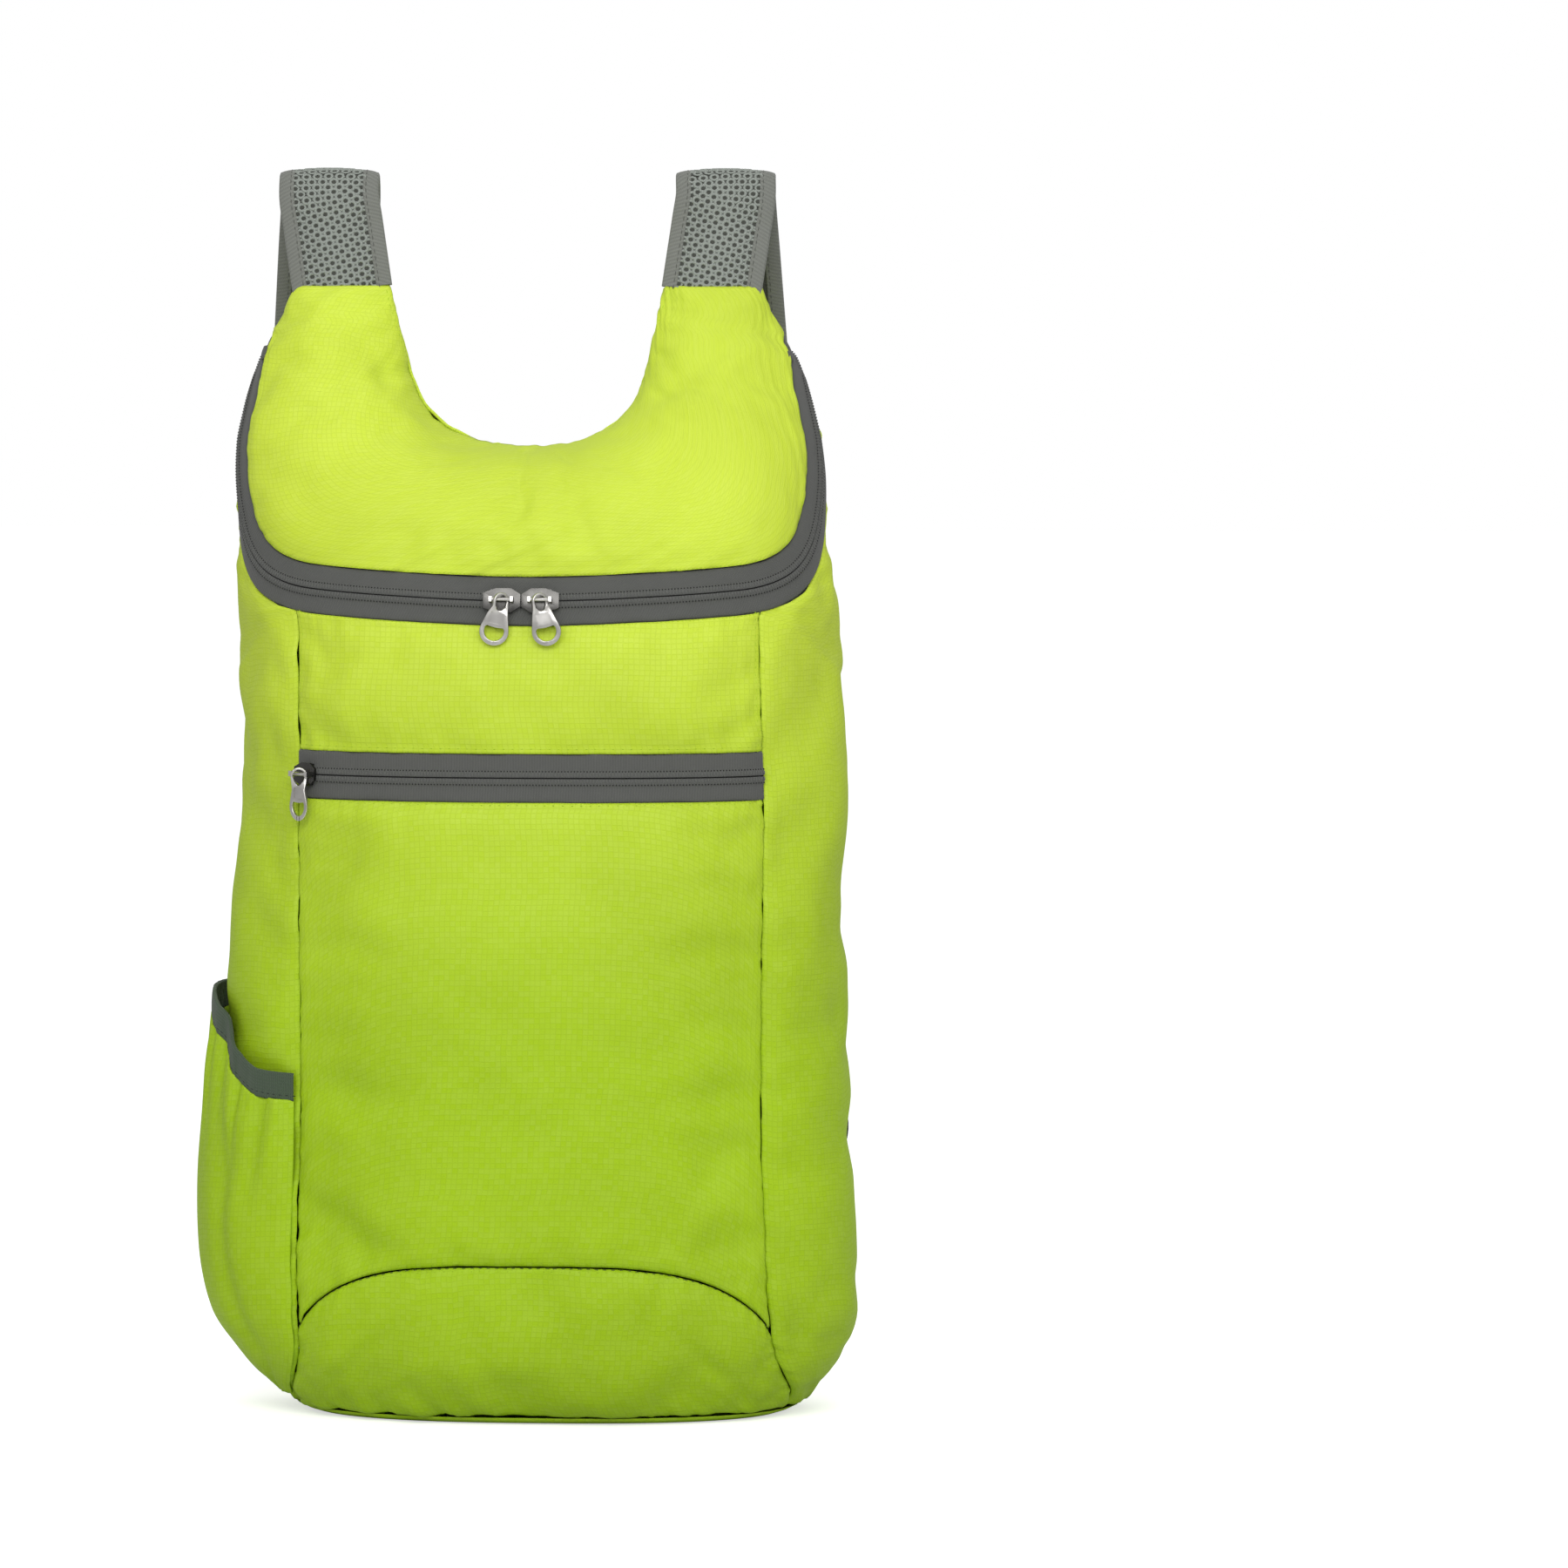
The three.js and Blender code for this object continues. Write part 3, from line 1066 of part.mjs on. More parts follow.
// Ladder-lock buckle on a short loop at the pad's end, with the webbing from the side seam through it
function makeBuckle(end, side, name) {
  const down = end.across.clone().cross(end.out).normalize();
  if (down.z > 0) down.negate();
  const at = (out, along) => end.origin.clone().addScaledVector(end.out, out).addScaledVector(down, along);
  const first = BUCKLE_SETBACK;
  const pitch = BUCKLE_BAR + BUCKLE_SLOT;
  const wrap = (middle, from, to, count) =>
    shares(count).map((s) => {
      const turn = lerp(from, to, s) * DEGREES;
      return at(BAR_WRAP_RADIUS * Math.cos(turn), middle + BAR_WRAP_RADIUS * Math.sin(turn));
    });
  const loop = [at(0.7 * BAR_WRAP_RADIUS, GAP), at(BAR_WRAP_RADIUS, 0.6 * first), ...wrap(first, 0, 180, 4)];
  loop.push(at(-BAR_WRAP_RADIUS, 0.6 * first), at(-0.7 * BAR_WRAP_RADIUS, GAP));
  addMesh("strap_loop_" + name, stripAlong(loop, evenSteps(loop, 1), end.across), "edging");

  const halfWidth = WEBBING_WIDTH / 2 + GAP;
  const outerHalf = halfWidth + BUCKLE_RAIL;
  const half = BUCKLE_BAR / 2;
  const outline = new THREE.Shape();
  outline.moveTo(-outerHalf, -half);
  outline.lineTo(outerHalf, -half);
  outline.lineTo(outerHalf, 2 * pitch + half);
  outline.lineTo(-outerHalf, 2 * pitch + half);
  for (const slot of [0, 1]) {
    const low = slot * pitch + half;
    const hole = [
      [-halfWidth, low],
      [-halfWidth, low + BUCKLE_SLOT],
      [halfWidth, low + BUCKLE_SLOT],
      [halfWidth, low],
    ];
    outline.holes.push(new THREE.Path(hole.map(([x, y]) => new THREE.Vector2(x, y))));
  }
  const frameGeometry = new THREE.ExtrudeGeometry(outline, { depth: BUCKLE_BAR, bevelEnabled: false });
  frameGeometry.translate(0, 0, -BUCKLE_BAR / 2);
  const buckle = new THREE.Group();
  buckle.position.copy(at(0, first));
  const normal = end.across.clone().cross(down);
  buckle.setRotationFromMatrix(new THREE.Matrix4().makeBasis(end.across, down, normal));
  backpack.add(buckle);
  addMesh("buckle_" + name, frameGeometry, "plastic", buckle);

  const seamAngle = side * (backSeam(ANCHOR_HEIGHT) + ANCHOR_ANGLE);
  const seam = bodyPoint(seamAngle, ANCHOR_HEIGHT);
  const ahead = bodyPoint(seamAngle + 1, ANCHOR_HEIGHT);
  const alongSeam = bodyPoint(seamAngle - 1, ANCHOR_HEIGHT).sub(ahead).normalize();
  const seamOut = new THREE.Vector3(0, 0, 1).cross(alongSeam).normalize();
  const anchor = seam.clone().addScaledVector(seamOut, 1.5 * GAP + WEBBING_THICKNESS);
  const low = at(BAR_WRAP_RADIUS, first + 2 * pitch + WEBBING_STRAIGHT);
  const swing = anchor.clone().lerp(low, 0.4);
  swing.x = side * (BODY_HALF_WIDTH - WEBBING_WIDTH / 2) - HORN_SWAY;
  swing.y = anchor.y + WEBBING_SWING;
  const bend = wrap(first + pitch, 0, -180, 4);
  const route = [
    anchor,
    swing,
    low,
    at(BAR_WRAP_RADIUS, first + 1.5 * pitch),
    ...bend,
    at(-BAR_WRAP_RADIUS, first + 2 * pitch),
    at(-lerp(BAR_WRAP_RADIUS, TAIL_LIFT, 0.4), first + 2 * pitch + TAIL_LENGTH / 2),
    at(-TAIL_LIFT, first + 2 * pitch + TAIL_LENGTH),
  ];
  const steps = [4, 4, 2, 1, ...evenSteps(bend, 2), 1, 1, 1];
  addMesh("webbing_" + name, stripAlong(route, steps, end.across, alongSeam), "webbing");
}

// A length of webbing along a route. It starts with its width along firstWay and soon turns to widthWay.
function stripAlong(points, steps, widthWay, firstWay = widthWay) {
  const turned = 0.3;
  const start = firstWay.clone().multiplyScalar(Math.sign(firstWay.dot(widthWay)) || 1);
  const way = (share) => start.clone().lerp(widthWay, clamp(share / turned, 0, 1)).normalize();
  return sweep(routeFrames(points, steps, way), band(WEBBING_WIDTH, WEBBING_THICKNESS));
}

makeLid();
makeFrontPanels();
makeGussets();
makeBackPanel();
makeBasePanel();
makeZip("main_zip", ZIP_STATIONS, zipPoint);
makeZip("pocket_zip", shares(14), pocketZipPoint);
makeSliders();
makeSidePocket();
makeStrap(-1, "left");
makeStrap(1, "right");

export default backpack;
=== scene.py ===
"""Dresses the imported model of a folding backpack: cloth, zips, straps, metal and stitching."""
import json
import math

import bmesh
import bpy
import numpy as np
from mathutils import Matrix, Vector


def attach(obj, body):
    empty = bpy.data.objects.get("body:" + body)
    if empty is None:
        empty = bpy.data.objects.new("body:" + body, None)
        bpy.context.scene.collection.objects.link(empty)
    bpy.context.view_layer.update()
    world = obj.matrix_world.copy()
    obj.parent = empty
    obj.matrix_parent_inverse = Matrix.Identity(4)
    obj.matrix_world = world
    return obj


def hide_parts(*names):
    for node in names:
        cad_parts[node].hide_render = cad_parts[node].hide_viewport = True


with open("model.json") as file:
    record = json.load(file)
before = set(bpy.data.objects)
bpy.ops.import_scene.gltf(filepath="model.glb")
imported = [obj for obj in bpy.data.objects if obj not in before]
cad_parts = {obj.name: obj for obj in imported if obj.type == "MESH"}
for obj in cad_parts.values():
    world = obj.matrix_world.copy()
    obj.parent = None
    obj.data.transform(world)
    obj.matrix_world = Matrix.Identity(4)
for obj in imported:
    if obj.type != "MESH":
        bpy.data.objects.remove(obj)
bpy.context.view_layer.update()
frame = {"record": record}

bl_info = {
    "name": "Folding backpack",
    "version": (1, 0, 0),
    "blender": (4, 5, 0),
    "location": "View3D > Sidebar > Backpack",
    "description": "Makes the visual pieces of a light folding backpack round its packed solids",
    "category": "Object",
}

MM = 0.001
IMAGE_SIDE = 1800

# Lengths in millimetres. A few differ from the solids, to follow the photo's outline more closely
BODY_HEIGHT = 466.0
BODY_HALF_WIDTH = 132.0
FRONT_DEPTH = 76.0
BACK_DEPTH = 34.0
WIDEST_LINE_Y = 16.0
SECTION_POWER = 2.5
HORN_SWAY = 6.5
SOLID_SWAY = 4.0
STRAP_LEAN = 0.06
BASE_SEAM_HEIGHT = 3.0
SEAM_DIP = 1.3
SEAM_DIP_ANGLE = 3.2
NECK_DEPTH = 66.0
NECK_HALF_WIDTH = 57.0
NECK_ROUNDING = 36.0
NECK_POWER = 2.2
NECK_GAP = 0.1
TAPE_HALF_WIDTH = 9.7
TAPE_GAP = 0.5
POCKET_ZIP_HEIGHT = 268.0
ARC_SIDE_HEIGHT = 38.0
ARC_RISE = 30.0
ARC_POWER = 2.8
POCKET_FOOT_HEIGHT = 9.0
POCKET_MOUTH_HEIGHT = 145.0
POCKET_MOUTH_RISE = 32.0
POCKET_FULLNESS = 11.0
PLEAT_DEPTH = 3.0
POCKET_RUN = 150
POCKET_COLUMNS = 150
BINDING_HEIGHT = 10.8
STRAP_TOP_HEIGHT = 514.0
STRAP_WIDTH = 41.5
STRAP_THICKNESS = 6.0
STRAP_ROOT = (77.0, 25.0)
STRAP_FOLD = (82.5, 41.0)
STRAP_FOLD_RADIUS = 8.5
STRAP_DROP = 312.0
STRAP_BOW = 54.0
STRAP_SPREAD = 19.0
EDGING_WIDTH = 6.5
WEBBING_WIDTH = 20.0
ANCHOR_HEIGHT = 92.0
ANCHOR_ANGLE = 9.0
WEBBING_SWING = 16.0
BUCKLE_BAR = 2.4
BUCKLE_SLOT = 6.6
BUCKLE_SETBACK = 11.0
BAR_WRAP_RADIUS = 2.6
TAIL_LENGTH = 30.0
TAIL_LIFT = 19.0
WEBBING_STRAIGHT = 14.0
WEBBING_THICKNESS = 1.1
EDGE_CROWD = 0.3
GUSSET_FOOT_SHARE = 0.16
GUSSET_RISE_SHARE = 0.62
GUSSET_ZIP_SHARE = 0.985
GUSSET_BACK_SHARE = 0.66
BACK_LEVEL_SHARE = 0.7
HORN_CORNER_COLUMN = 0.62
SETTLE_FRAMES = 20
SETTLE_PRESSURE = 4.0
GAP = 0.36
CLOTH = 1.2
ROOT_DEPTH = 3.4
PAD_HALF = STRAP_WIDTH / 2 - 1.06
CROWN = STRAP_THICKNESS / 2
EYE_YAW = 35.0
SETTLE_CAP = 3.0
PIXEL = 0.36
ORIGIN_PIXEL = (618, 1625)
ZIP_END_SLACK = 40.0
DEGREE_LENGTH = 1.6

# Height, width, front, back, step and sway of the body's sections, as shares of the sizes above
SECTIONS = (
    (0, 0.745, 0.7, 0.62, 0, -0.4),
    (0.004, 0.785, 0.755, 0.7, 0, -0.4),
    (0.011, 0.818, 0.805, 0.78, 0, -0.4),
    (0.023, 0.85, 0.865, 0.87, 0, -0.38),
    (0.042, 0.897, 0.925, 0.94, 0, -0.34),
    (0.063, 0.938, 0.965, 0.98, 0, -0.26),
    (0.1, 0.986, 0.99, 1, 0, -0.12),
    (0.15, 1, 1, 1, 0, 0),
    (0.26, 0.983, 1, 1, 0, 0),
    (0.43, 0.964, 0.985, 0.97, 0, 0),
    (0.55, 0.95, 0.945, 0.92, 0, 0),
    (0.645, 0.941, 0.91, 0.88, 0, 0.1),
    (0.72, 0.935, 0.86, 0.82, 0.01, 0.25),
    (0.785, 0.93, 0.765, 0.74, 0.04, 0.45),
    (0.825, 0.928, 0.69, 0.69, 0.06, 0.58),
    (0.86, 0.918, 0.6, 0.61, 0.09, 0.7),
    (0.885, 0.898, 0.53, 0.54, 0.12, 0.76),
    (0.91, 0.872, 0.45, 0.46, 0.16, 0.82),
    (0.945, 0.825, 0.32, 0.35, 0.21, 0.9),
    (0.972, 0.777, 0.215, 0.26, 0.25, 0.95),
    (1, 0.735, 0.125, 0.19, 0.28, 1),
)
# Height, and the angles of the front and the back side seam
SIDE_SEAMS = (
    (0, 72, 121),
    (0.022, 66, 120),
    (0.039, 57.5, 119),
    (0.06, 50, 118),
    (0.08, 46.5, 118),
    (0.125, 43.6, 118),
    (0.2, 43, 118),
    (0.35, 43.8, 118),
    (0.56, 46.2, 118),
    (0.72, 46.6, 118),
    (0.86, 48, 116),
    (0.945, 50, 111),
    (1, 52, 101),
)
# Angle and height of the main zip
MAIN_ZIP = (
    (0, 0.7295),
    (17, 0.7325),
    (33, 0.736),
    (45, 0.7395),
    (55, 0.7475),
    (63, 0.76),
    (70, 0.78),
    (75.5, 0.809),
    (79.5, 0.842),
    (82, 0.871),
    (85, 0.9),
    (91, 0.921),
    (101, 0.935),
    (111.4, 0.941),
)
# Across and rise of the neck's curve
NECK = (
    (0.2, 0.008), (0.39, 0.045), (0.58, 0.125), (0.74, 0.255), (0.845, 0.45), (0.92, 0.7), (1, 1),
)
# Angle, height, span, reach and swell of the broad dents
DENTS = (
    (0, 0.34, 30, 0.2, 0.035),
    (0, 0.585, 46, 0.03, -0.022),
    (-26, 0.865, 10, 0.03, -0.03),
    (30, 0.85, 9, 0.035, -0.028),
    (4, 0.795, 22, 0.03, 0.035),
    (72, 0.42, 14, 0.18, -0.03),
    (-72, 0.55, 14, 0.12, -0.03),
    (180, 0.45, 30, 0.2, -0.02),
)
POCKET_MOUTH = ((0, 0), (0.14, 0.04), (0.26, 0.28), (0.4, 0.74), (0.6, 0.95), (1, 1))
STRAP_HANG = (
    (0.08, 0.18, 0.1), (0.24, 0.57, 0.3), (0.44, 0.88, 0.54), (0.64, 0.93, 0.76), (0.83, 0.74, 0.93),
    (1, 0.42, 1),
)


# Numbers

def smooth(rows, key, name, at):
    """Column name of a table over its column key, on a smooth curve that never overshoots its rows."""
    table = np.array(rows, float)
    x, y = table[:, key], table[:, name]
    at = np.clip(np.asarray(at, float), x[0], x[-1])
    i = np.clip(np.searchsorted(x, at, side="left") - 1, 0, len(x) - 2)
    slope = np.diff(y) / np.diff(x)
    product = slope[:-1] * slope[1:]
    total = np.where(product > 0, slope[:-1] + slope[1:], 1)
    inner = np.where(product > 0, 2 * product / total, 0)
    m = np.concatenate([slope[:1], inner, slope[-1:]])
    step = x[i + 1] - x[i]
    t = (at - x[i]) / step
    t2, t3 = t * t, t * t * t
    return ((2 * t3 - 3 * t2 + 1) * y[i] + (t3 - 2 * t2 + t) * step * m[i]
            + (3 * t2 - 2 * t3) * y[i + 1] + (t3 - t2) * step * m[i + 1])


def lerp(a, b, t):
    return a + (b - a) * t


def unit(v):
    return v / np.maximum(np.linalg.norm(v, axis=-1, keepdims=True), 1e-12)


def signed_power(value, power):
    return np.sign(value) * np.abs(value) ** power


def bell(x):
    return np.exp(-x * x)


def wave(x, seed):
    """Smooth random wave of one variable, between -1 and 1, with a swing about every unit."""
    table = np.random.default_rng(seed).uniform(-1, 1, 512)
    i = np.floor(x).astype(int)
    t = x - i
    t = t * t * (3 - 2 * t)
    return lerp(table[i % 512], table[(i + 1) % 512], t)


def cloud(x, y, seed):
    """Smooth random field of two variables, between -1 and 1."""
    table = np.random.default_rng(seed).uniform(-1, 1, (64, 64))
    i, j = np.floor(x).astype(int), np.floor(y).astype(int)
    s, t = x - i, y - j
    s, t = s * s * (3 - 2 * s), t * t * (3 - 2 * t)
    low = lerp(table[i % 64, j % 64], table[(i + 1) % 64, j % 64], s)
    high = lerp(table[i % 64, (j + 1) % 64], table[(i + 1) % 64, (j + 1) % 64], s)
    return lerp(low, high, t)


def curve_through(points, per_span=24):
    """A smooth curve through points, as a dense list of points."""
    p = np.array(points, float)
    p = np.vstack([2 * p[0] - p[1], p, 2 * p[-1] - p[-2]])
    out = []
    for i in range(1, len(p) - 2):
        d = [max(np.linalg.norm(p[k + 1] - p[k]) ** 0.5, 1e-4) for k in (i - 1, i, i + 1)]
        a = (p[i] - p[i - 1]) / d[0] - (p[i + 1] - p[i - 1]) / (d[0] + d[1]) + (p[i + 1] - p[i]) / d[1]
        b = (p[i + 1] - p[i]) / d[1] - (p[i + 2] - p[i]) / (d[1] + d[2]) + (p[i + 2] - p[i + 1]) / d[2]
        t = np.linspace(0, 1, per_span, endpoint=False)[:, None]
        t2, t3 = t * t, t * t * t
        out.append((2 * t3 - 3 * t2 + 1) * p[i] + (t3 - 2 * t2 + t) * d[1] * a
                   + (3 * t2 - 2 * t3) * p[i + 1] + (t3 - t2) * d[1] * b)
    out.append(p[-2:-1])
    return np.vstack(out)


def arc(points):
    """Length along a list of points, from its first point."""
    return np.concatenate([[0], np.cumsum(np.linalg.norm(np.diff(points, axis=0), axis=1))])


def along(points, share):
    """Points of a dense list at shares of its length."""
    s = arc(points)
    at = np.asarray(share, float) * s[-1]
    return np.stack([np.interp(at, s, points[:, k]) for k in range(points.shape[1])], axis=-1)


# The body's surface

def section(height):
    at = height / BODY_HEIGHT
    return (BODY_HALF_WIDTH * smooth(SECTIONS, 0, 1, at), FRONT_DEPTH * smooth(SECTIONS, 0, 2, at),
            BACK_DEPTH * smooth(SECTIONS, 0, 3, at), WIDEST_LINE_Y + BACK_DEPTH * smooth(SECTIONS, 0, 4, at),
            -HORN_SWAY * smooth(SECTIONS, 0, 5, at))


def front_seam(height):
    return smooth(SIDE_SEAMS, 0, 1, height / BODY_HEIGHT)


def back_seam(height):
    return smooth(SIDE_SEAMS, 0, 2, height / BODY_HEIGHT)


def main_zip_height(angle):
    return BODY_HEIGHT * smooth(MAIN_ZIP, 0, 1, np.abs(angle))


def stand_out(angle, height):
    out = 0
    for at_angle, at_height, span, reach, swell in DENTS:
        a = ((angle - at_angle + 180) % 360 - 180) / span
        h = (height / BODY_HEIGHT - at_height) / reach
        out = out + FRONT_DEPTH * swell * np.exp(-a * a - h * h)
    from_seam = (np.abs(angle) - front_seam(height)) / SEAM_DIP_ANGLE
    under_zip = np.clip((main_zip_height(angle) - height) / TAPE_HALF_WIDTH - 1, 0, 1)
    over_base = np.clip(height / BASE_SEAM_HEIGHT - 1, 0, 1)
    return out * over_base - SEAM_DIP * under_zip * over_base * bell(from_seam)


def body_point(angle, height, fade=1.0):
    angle, height, fade = np.broadcast_arrays(np.asarray(angle, float), np.asarray(height, float),
                                              np.asarray(fade, float))
    width, front, back, middle, sway = section(height)
    power = 2 / SECTION_POWER
    sin, cos = np.sin(np.radians(angle)), np.cos(np.radians(angle))
    depth = np.where(cos > 0, front, back)
    x = width * signed_power(sin, power)
    y = -depth * signed_power(cos, power)
    out = stand_out(angle, height)
    nx, ny = x / width ** 2, y / depth ** 2
    length = np.maximum(np.hypot(nx, ny), 1e-9)
    sewn = 0.5 * NECK_GAP * (1 - fade) * np.sign(y)
    return np.stack([sway + x + out * nx / length, middle + (y + out * ny / length) * fade + sewn,
                     height * np.ones_like(x)], axis=-1)


def neck_fade(distance):
    share = np.clip(1 - np.maximum(distance, 0) / NECK_ROUNDING, 0, 1)
    return (1 - share ** NECK_POWER) ** (1 / NECK_POWER)


def mirrored(rows, middle):
    """A smooth curve through a middle point and rows to its right, mirrored to its left."""
    return curve_through([(-x, y) for x, y in reversed(rows)] + [middle] + rows)


ZIP_ROWS = [(a * DEGREE_LENGTH, h * BODY_HEIGHT) for a, h in MAIN_ZIP[1:]]
ZIP_LINE = mirrored(ZIP_ROWS, (0, MAIN_ZIP[0][1] * BODY_HEIGHT))


def beside_zip(share, offset, walks=4):
    """Angle and height at a share of the main zip's length, stepped off it over the cloth."""
    share, offset = np.broadcast_arrays(np.asarray(share, float), np.asarray(offset, float))
    step = 2e-3
    here = along(ZIP_LINE, share)
    back, ahead = along(ZIP_LINE, np.maximum(share - step, 0)), along(ZIP_LINE, np.minimum(share + step, 1))
    angle, height = here[..., 0] / DEGREE_LENGTH, here[..., 1]
    tangent = (body_point(ahead[..., 0] / DEGREE_LENGTH, ahead[..., 1])
               - body_point(back[..., 0] / DEGREE_LENGTH, back[..., 1]))
    for _ in range(walks):
        by_angle = (body_point(angle + 0.2, height) - body_point(angle - 0.2, height)) / 0.4
        by_height = (body_point(angle, height + 0.2) - body_point(angle, height - 0.2)) / 0.4
        across = unit(np.cross(np.cross(by_angle, by_height), tangent))
        aa, ah = (by_angle * by_angle).sum(-1), (by_angle * by_height).sum(-1)
        hh = (by_height * by_height).sum(-1)
        a, h = (across * by_angle).sum(-1), (across * by_height).sum(-1)
        scale = offset / walks / (aa * hh - ah * ah)
        angle, height = angle + (a * hh - h * ah) * scale, height + (h * aa - a * ah) * scale
    edge = back_seam(height) - ZIP_END_SLACK * (1 - np.abs(2 * share - 1))
    return np.clip(angle, -edge, edge), height


def by_index(line, at):
    """Points of a list at places counted in its own steps."""
    return [np.interp(at, np.arange(len(line)), line[:, k]) for k in (0, 1)]


BORDER = TAPE_HALF_WIDTH + TAPE_GAP
BORDER_ANGLES, BORDER_HEIGHTS = beside_zip(np.linspace(0.5, 0.82, 90), -BORDER)


def lower_border_height(angle):
    return np.interp(np.abs(angle), BORDER_ANGLES, BORDER_HEIGHTS)


def seam_crossing():
    """Share of the zip's length at which its lower border crosses the right front seam."""
    low, high = 0.5, 0.9
    for _ in range(30):
        middle = (low + high) / 2
        angle, height = beside_zip(middle, -BORDER)
        low, high = (middle, high) if angle < front_seam(height) else (low, middle)
    return low


CROSSING = seam_crossing()
BESIDE = np.linspace(CROSSING, 1, 14)
STATIONS = np.concatenate([1 - BESIDE[::-1], np.linspace(1 - CROSSING, CROSSING, 11)[1:-1], BESIDE])
PER_STATION = 16


def zip_place(share, offset):
    """Angle and height beside the main zip, on a smooth curve through its stations."""
    share, offset = np.broadcast_arrays(np.asarray(share, float), np.asarray(offset, float))
    at = np.interp(share, STATIONS, np.arange(len(STATIONS))) * PER_STATION
    angle, height = np.zeros(share.shape), np.zeros(share.shape)
    for value in np.unique(offset):
        here = offset == value
        a, h = beside_zip(STATIONS, value)
        line = curve_through(np.stack([a * DEGREE_LENGTH, h], axis=1), PER_STATION)
        across, height[here] = by_index(line, at[here])
        angle[here] = across / DEGREE_LENGTH
    return angle, height


def zip_point(share, offset):
    return body_point(*zip_place(share, offset))


NECK_ROWS = [(x * NECK_HALF_WIDTH, BODY_HEIGHT + (r - 1) * NECK_DEPTH) for x, r in NECK]
NECK_LINE = mirrored(NECK_ROWS, (0, BODY_HEIGHT - NECK_DEPTH))


def angle_at(x, height):
    share = np.clip(x / section(height)[0], -1, 1)
    return np.degrees(np.arcsin(signed_power(share, SECTION_POWER / 2)))


def pocket_zip_place(share, offset):
    height = POCKET_ZIP_HEIGHT + offset
    reach = front_seam(height)
    return lerp(-reach, reach, share), height * np.ones_like(share)


def arc_height(angle):
    share = np.clip(np.abs(angle) / front_seam(ARC_SIDE_HEIGHT), 0, 1)
    return ARC_SIDE_HEIGHT + ARC_RISE * (1 - share ** ARC_POWER)


# Sheets of cloth

def lengths(points):
    """Length along both ways of a grid of points, from its first row and its first column."""
    s = np.zeros(points.shape[:2])
    t = np.zeros(points.shape[:2])
    s[1:] = np.cumsum(np.linalg.norm(np.diff(points, axis=0), axis=-1), axis=0)
    t[:, 1:] = np.cumsum(np.linalg.norm(np.diff(points, axis=1), axis=-1), axis=1)
    return s, t


def away(points):
    """Level ways from the middle of the bag to a grid of points."""
    return (points - [0, WIDEST_LINE_Y, 0]) * [1, 1, 0]


def grid_normals(points, outward):
    """Normals of a grid, turned to the side that a grid of ways gives."""
    n = unit(np.cross(np.gradient(points, axis=0), np.gradient(points, axis=1)))
    return n * (1 if (n * outward).sum() > 0 else -1)


def seam_relief(distance, run, seed, pucker):
    """A sewn seam: the cloth rolls in at the seam, and is drawn into small puckers across it."""
    lean = run + 0.35 * distance
    small = bell(distance / 8) * np.maximum(wave(lean / 3.1, seed), -0.4)
    large = bell(distance / 20) * wave(lean / 8.0, seed + 1) * (0.5 + 0.5 * wave(run / 55.0, seed + 2))
    return -0.75 * np.exp(-distance / 1.1) + pucker * (0.4 * small + 0.85 * large)


def tape_relief(distance, run, seed, pucker):
    """A turned edge stitched to a zip tape: a low lip, a stitched groove and tiny scallops."""
    lip = 0.3 * bell((distance - 1.0) / 1.0) - 0.3 * bell((distance - 2.4) / 0.7)
    small = bell(distance / 7) * wave(run / 2.6, seed)
    large = bell(distance / 18) * wave(run / 8.5, seed + 1)
    drag = bell(distance / 42) * wave((run + 0.04 * distance) / 3.6, seed + 2)
    return lip - 0.25 * np.exp(-distance / 0.5) + pucker * (0.22 * small + 0.35 * large + 0.1 * drag)


def neck_relief(distance, run, seed, pucker):
    """The neck hem: a rolled seam, with the cloth gathered where its curve is lowest."""
    total = run.max()
    middle = bell((run / total - 0.5) / 0.09)
    roll = 0.25 * bell((distance - 1.6) / 1.4)
    small = bell(distance / 11) * wave(run / 3.4, seed) * (0.3 + 1.0 * middle)
    return roll + pucker * 0.7 * small


def plain_relief(distance, run, seed, pucker):
    return -0.5 * np.exp(-distance / 0.8)


RELIEFS = {"seam": seam_relief, "tape": tape_relief, "neck": neck_relief, "plain": plain_relief}


def relief(points, borders, seed, look):
    """Height of the folds and puckers over a grid of points. Borders are those at u 0, u 1, v 0 and v 1."""
    s, t = lengths(points)
    ways = ((s, t), (s[-1:] - s, t), (t, s), (t[:, -1:] - t, s))
    out = np.zeros(s.shape)
    for k, (kind, (distance, run)) in enumerate(zip(borders, ways)):
        if kind:
            out += RELIEFS[kind](distance, run, seed + 10 * k, look.pucker)
    x, z = points[..., 0] + 0.6 * points[..., 1], points[..., 2]
    broad = cloud(x / 46 + 7.3, z / 38 + 3.1, seed + 50) + 0.45 * cloud(x / 19 + 1.7, z / 17 + 5.9, seed + 51)
    inside = 1.0
    for distance, _ in ways:
        inside = inside * (1 - np.exp(-distance / 9))
    return out + look.billow * broad * inside


def crease(points, folds):
    """Long soft folds, each from one point to another of the front view, with its depth and half width."""
    out = np.zeros(points.shape[:2])
    x, z = points[..., 0], points[..., 2]
    for (x0, z0), (x1, z1), depth, width in folds:
        way = np.array([x1 - x0, z1 - z0])
        length = np.hypot(*way)
        way = way / length
        run = ((x - x0) * way[0] + (z - z0) * way[1]) / length
        side = -(x - x0) * way[1] + (z - z0) * way[0]
        ends = bell(np.maximum(np.abs(run - 0.5) - 0.25, 0) / 0.25)
        out += depth * bell(side / width) * ends
    return out


def linked(name, data):
    """A new object of the scene with the given data."""
    obj = bpy.data.objects.new(name, data)
    bpy.context.collection.objects.link(obj)
    return obj


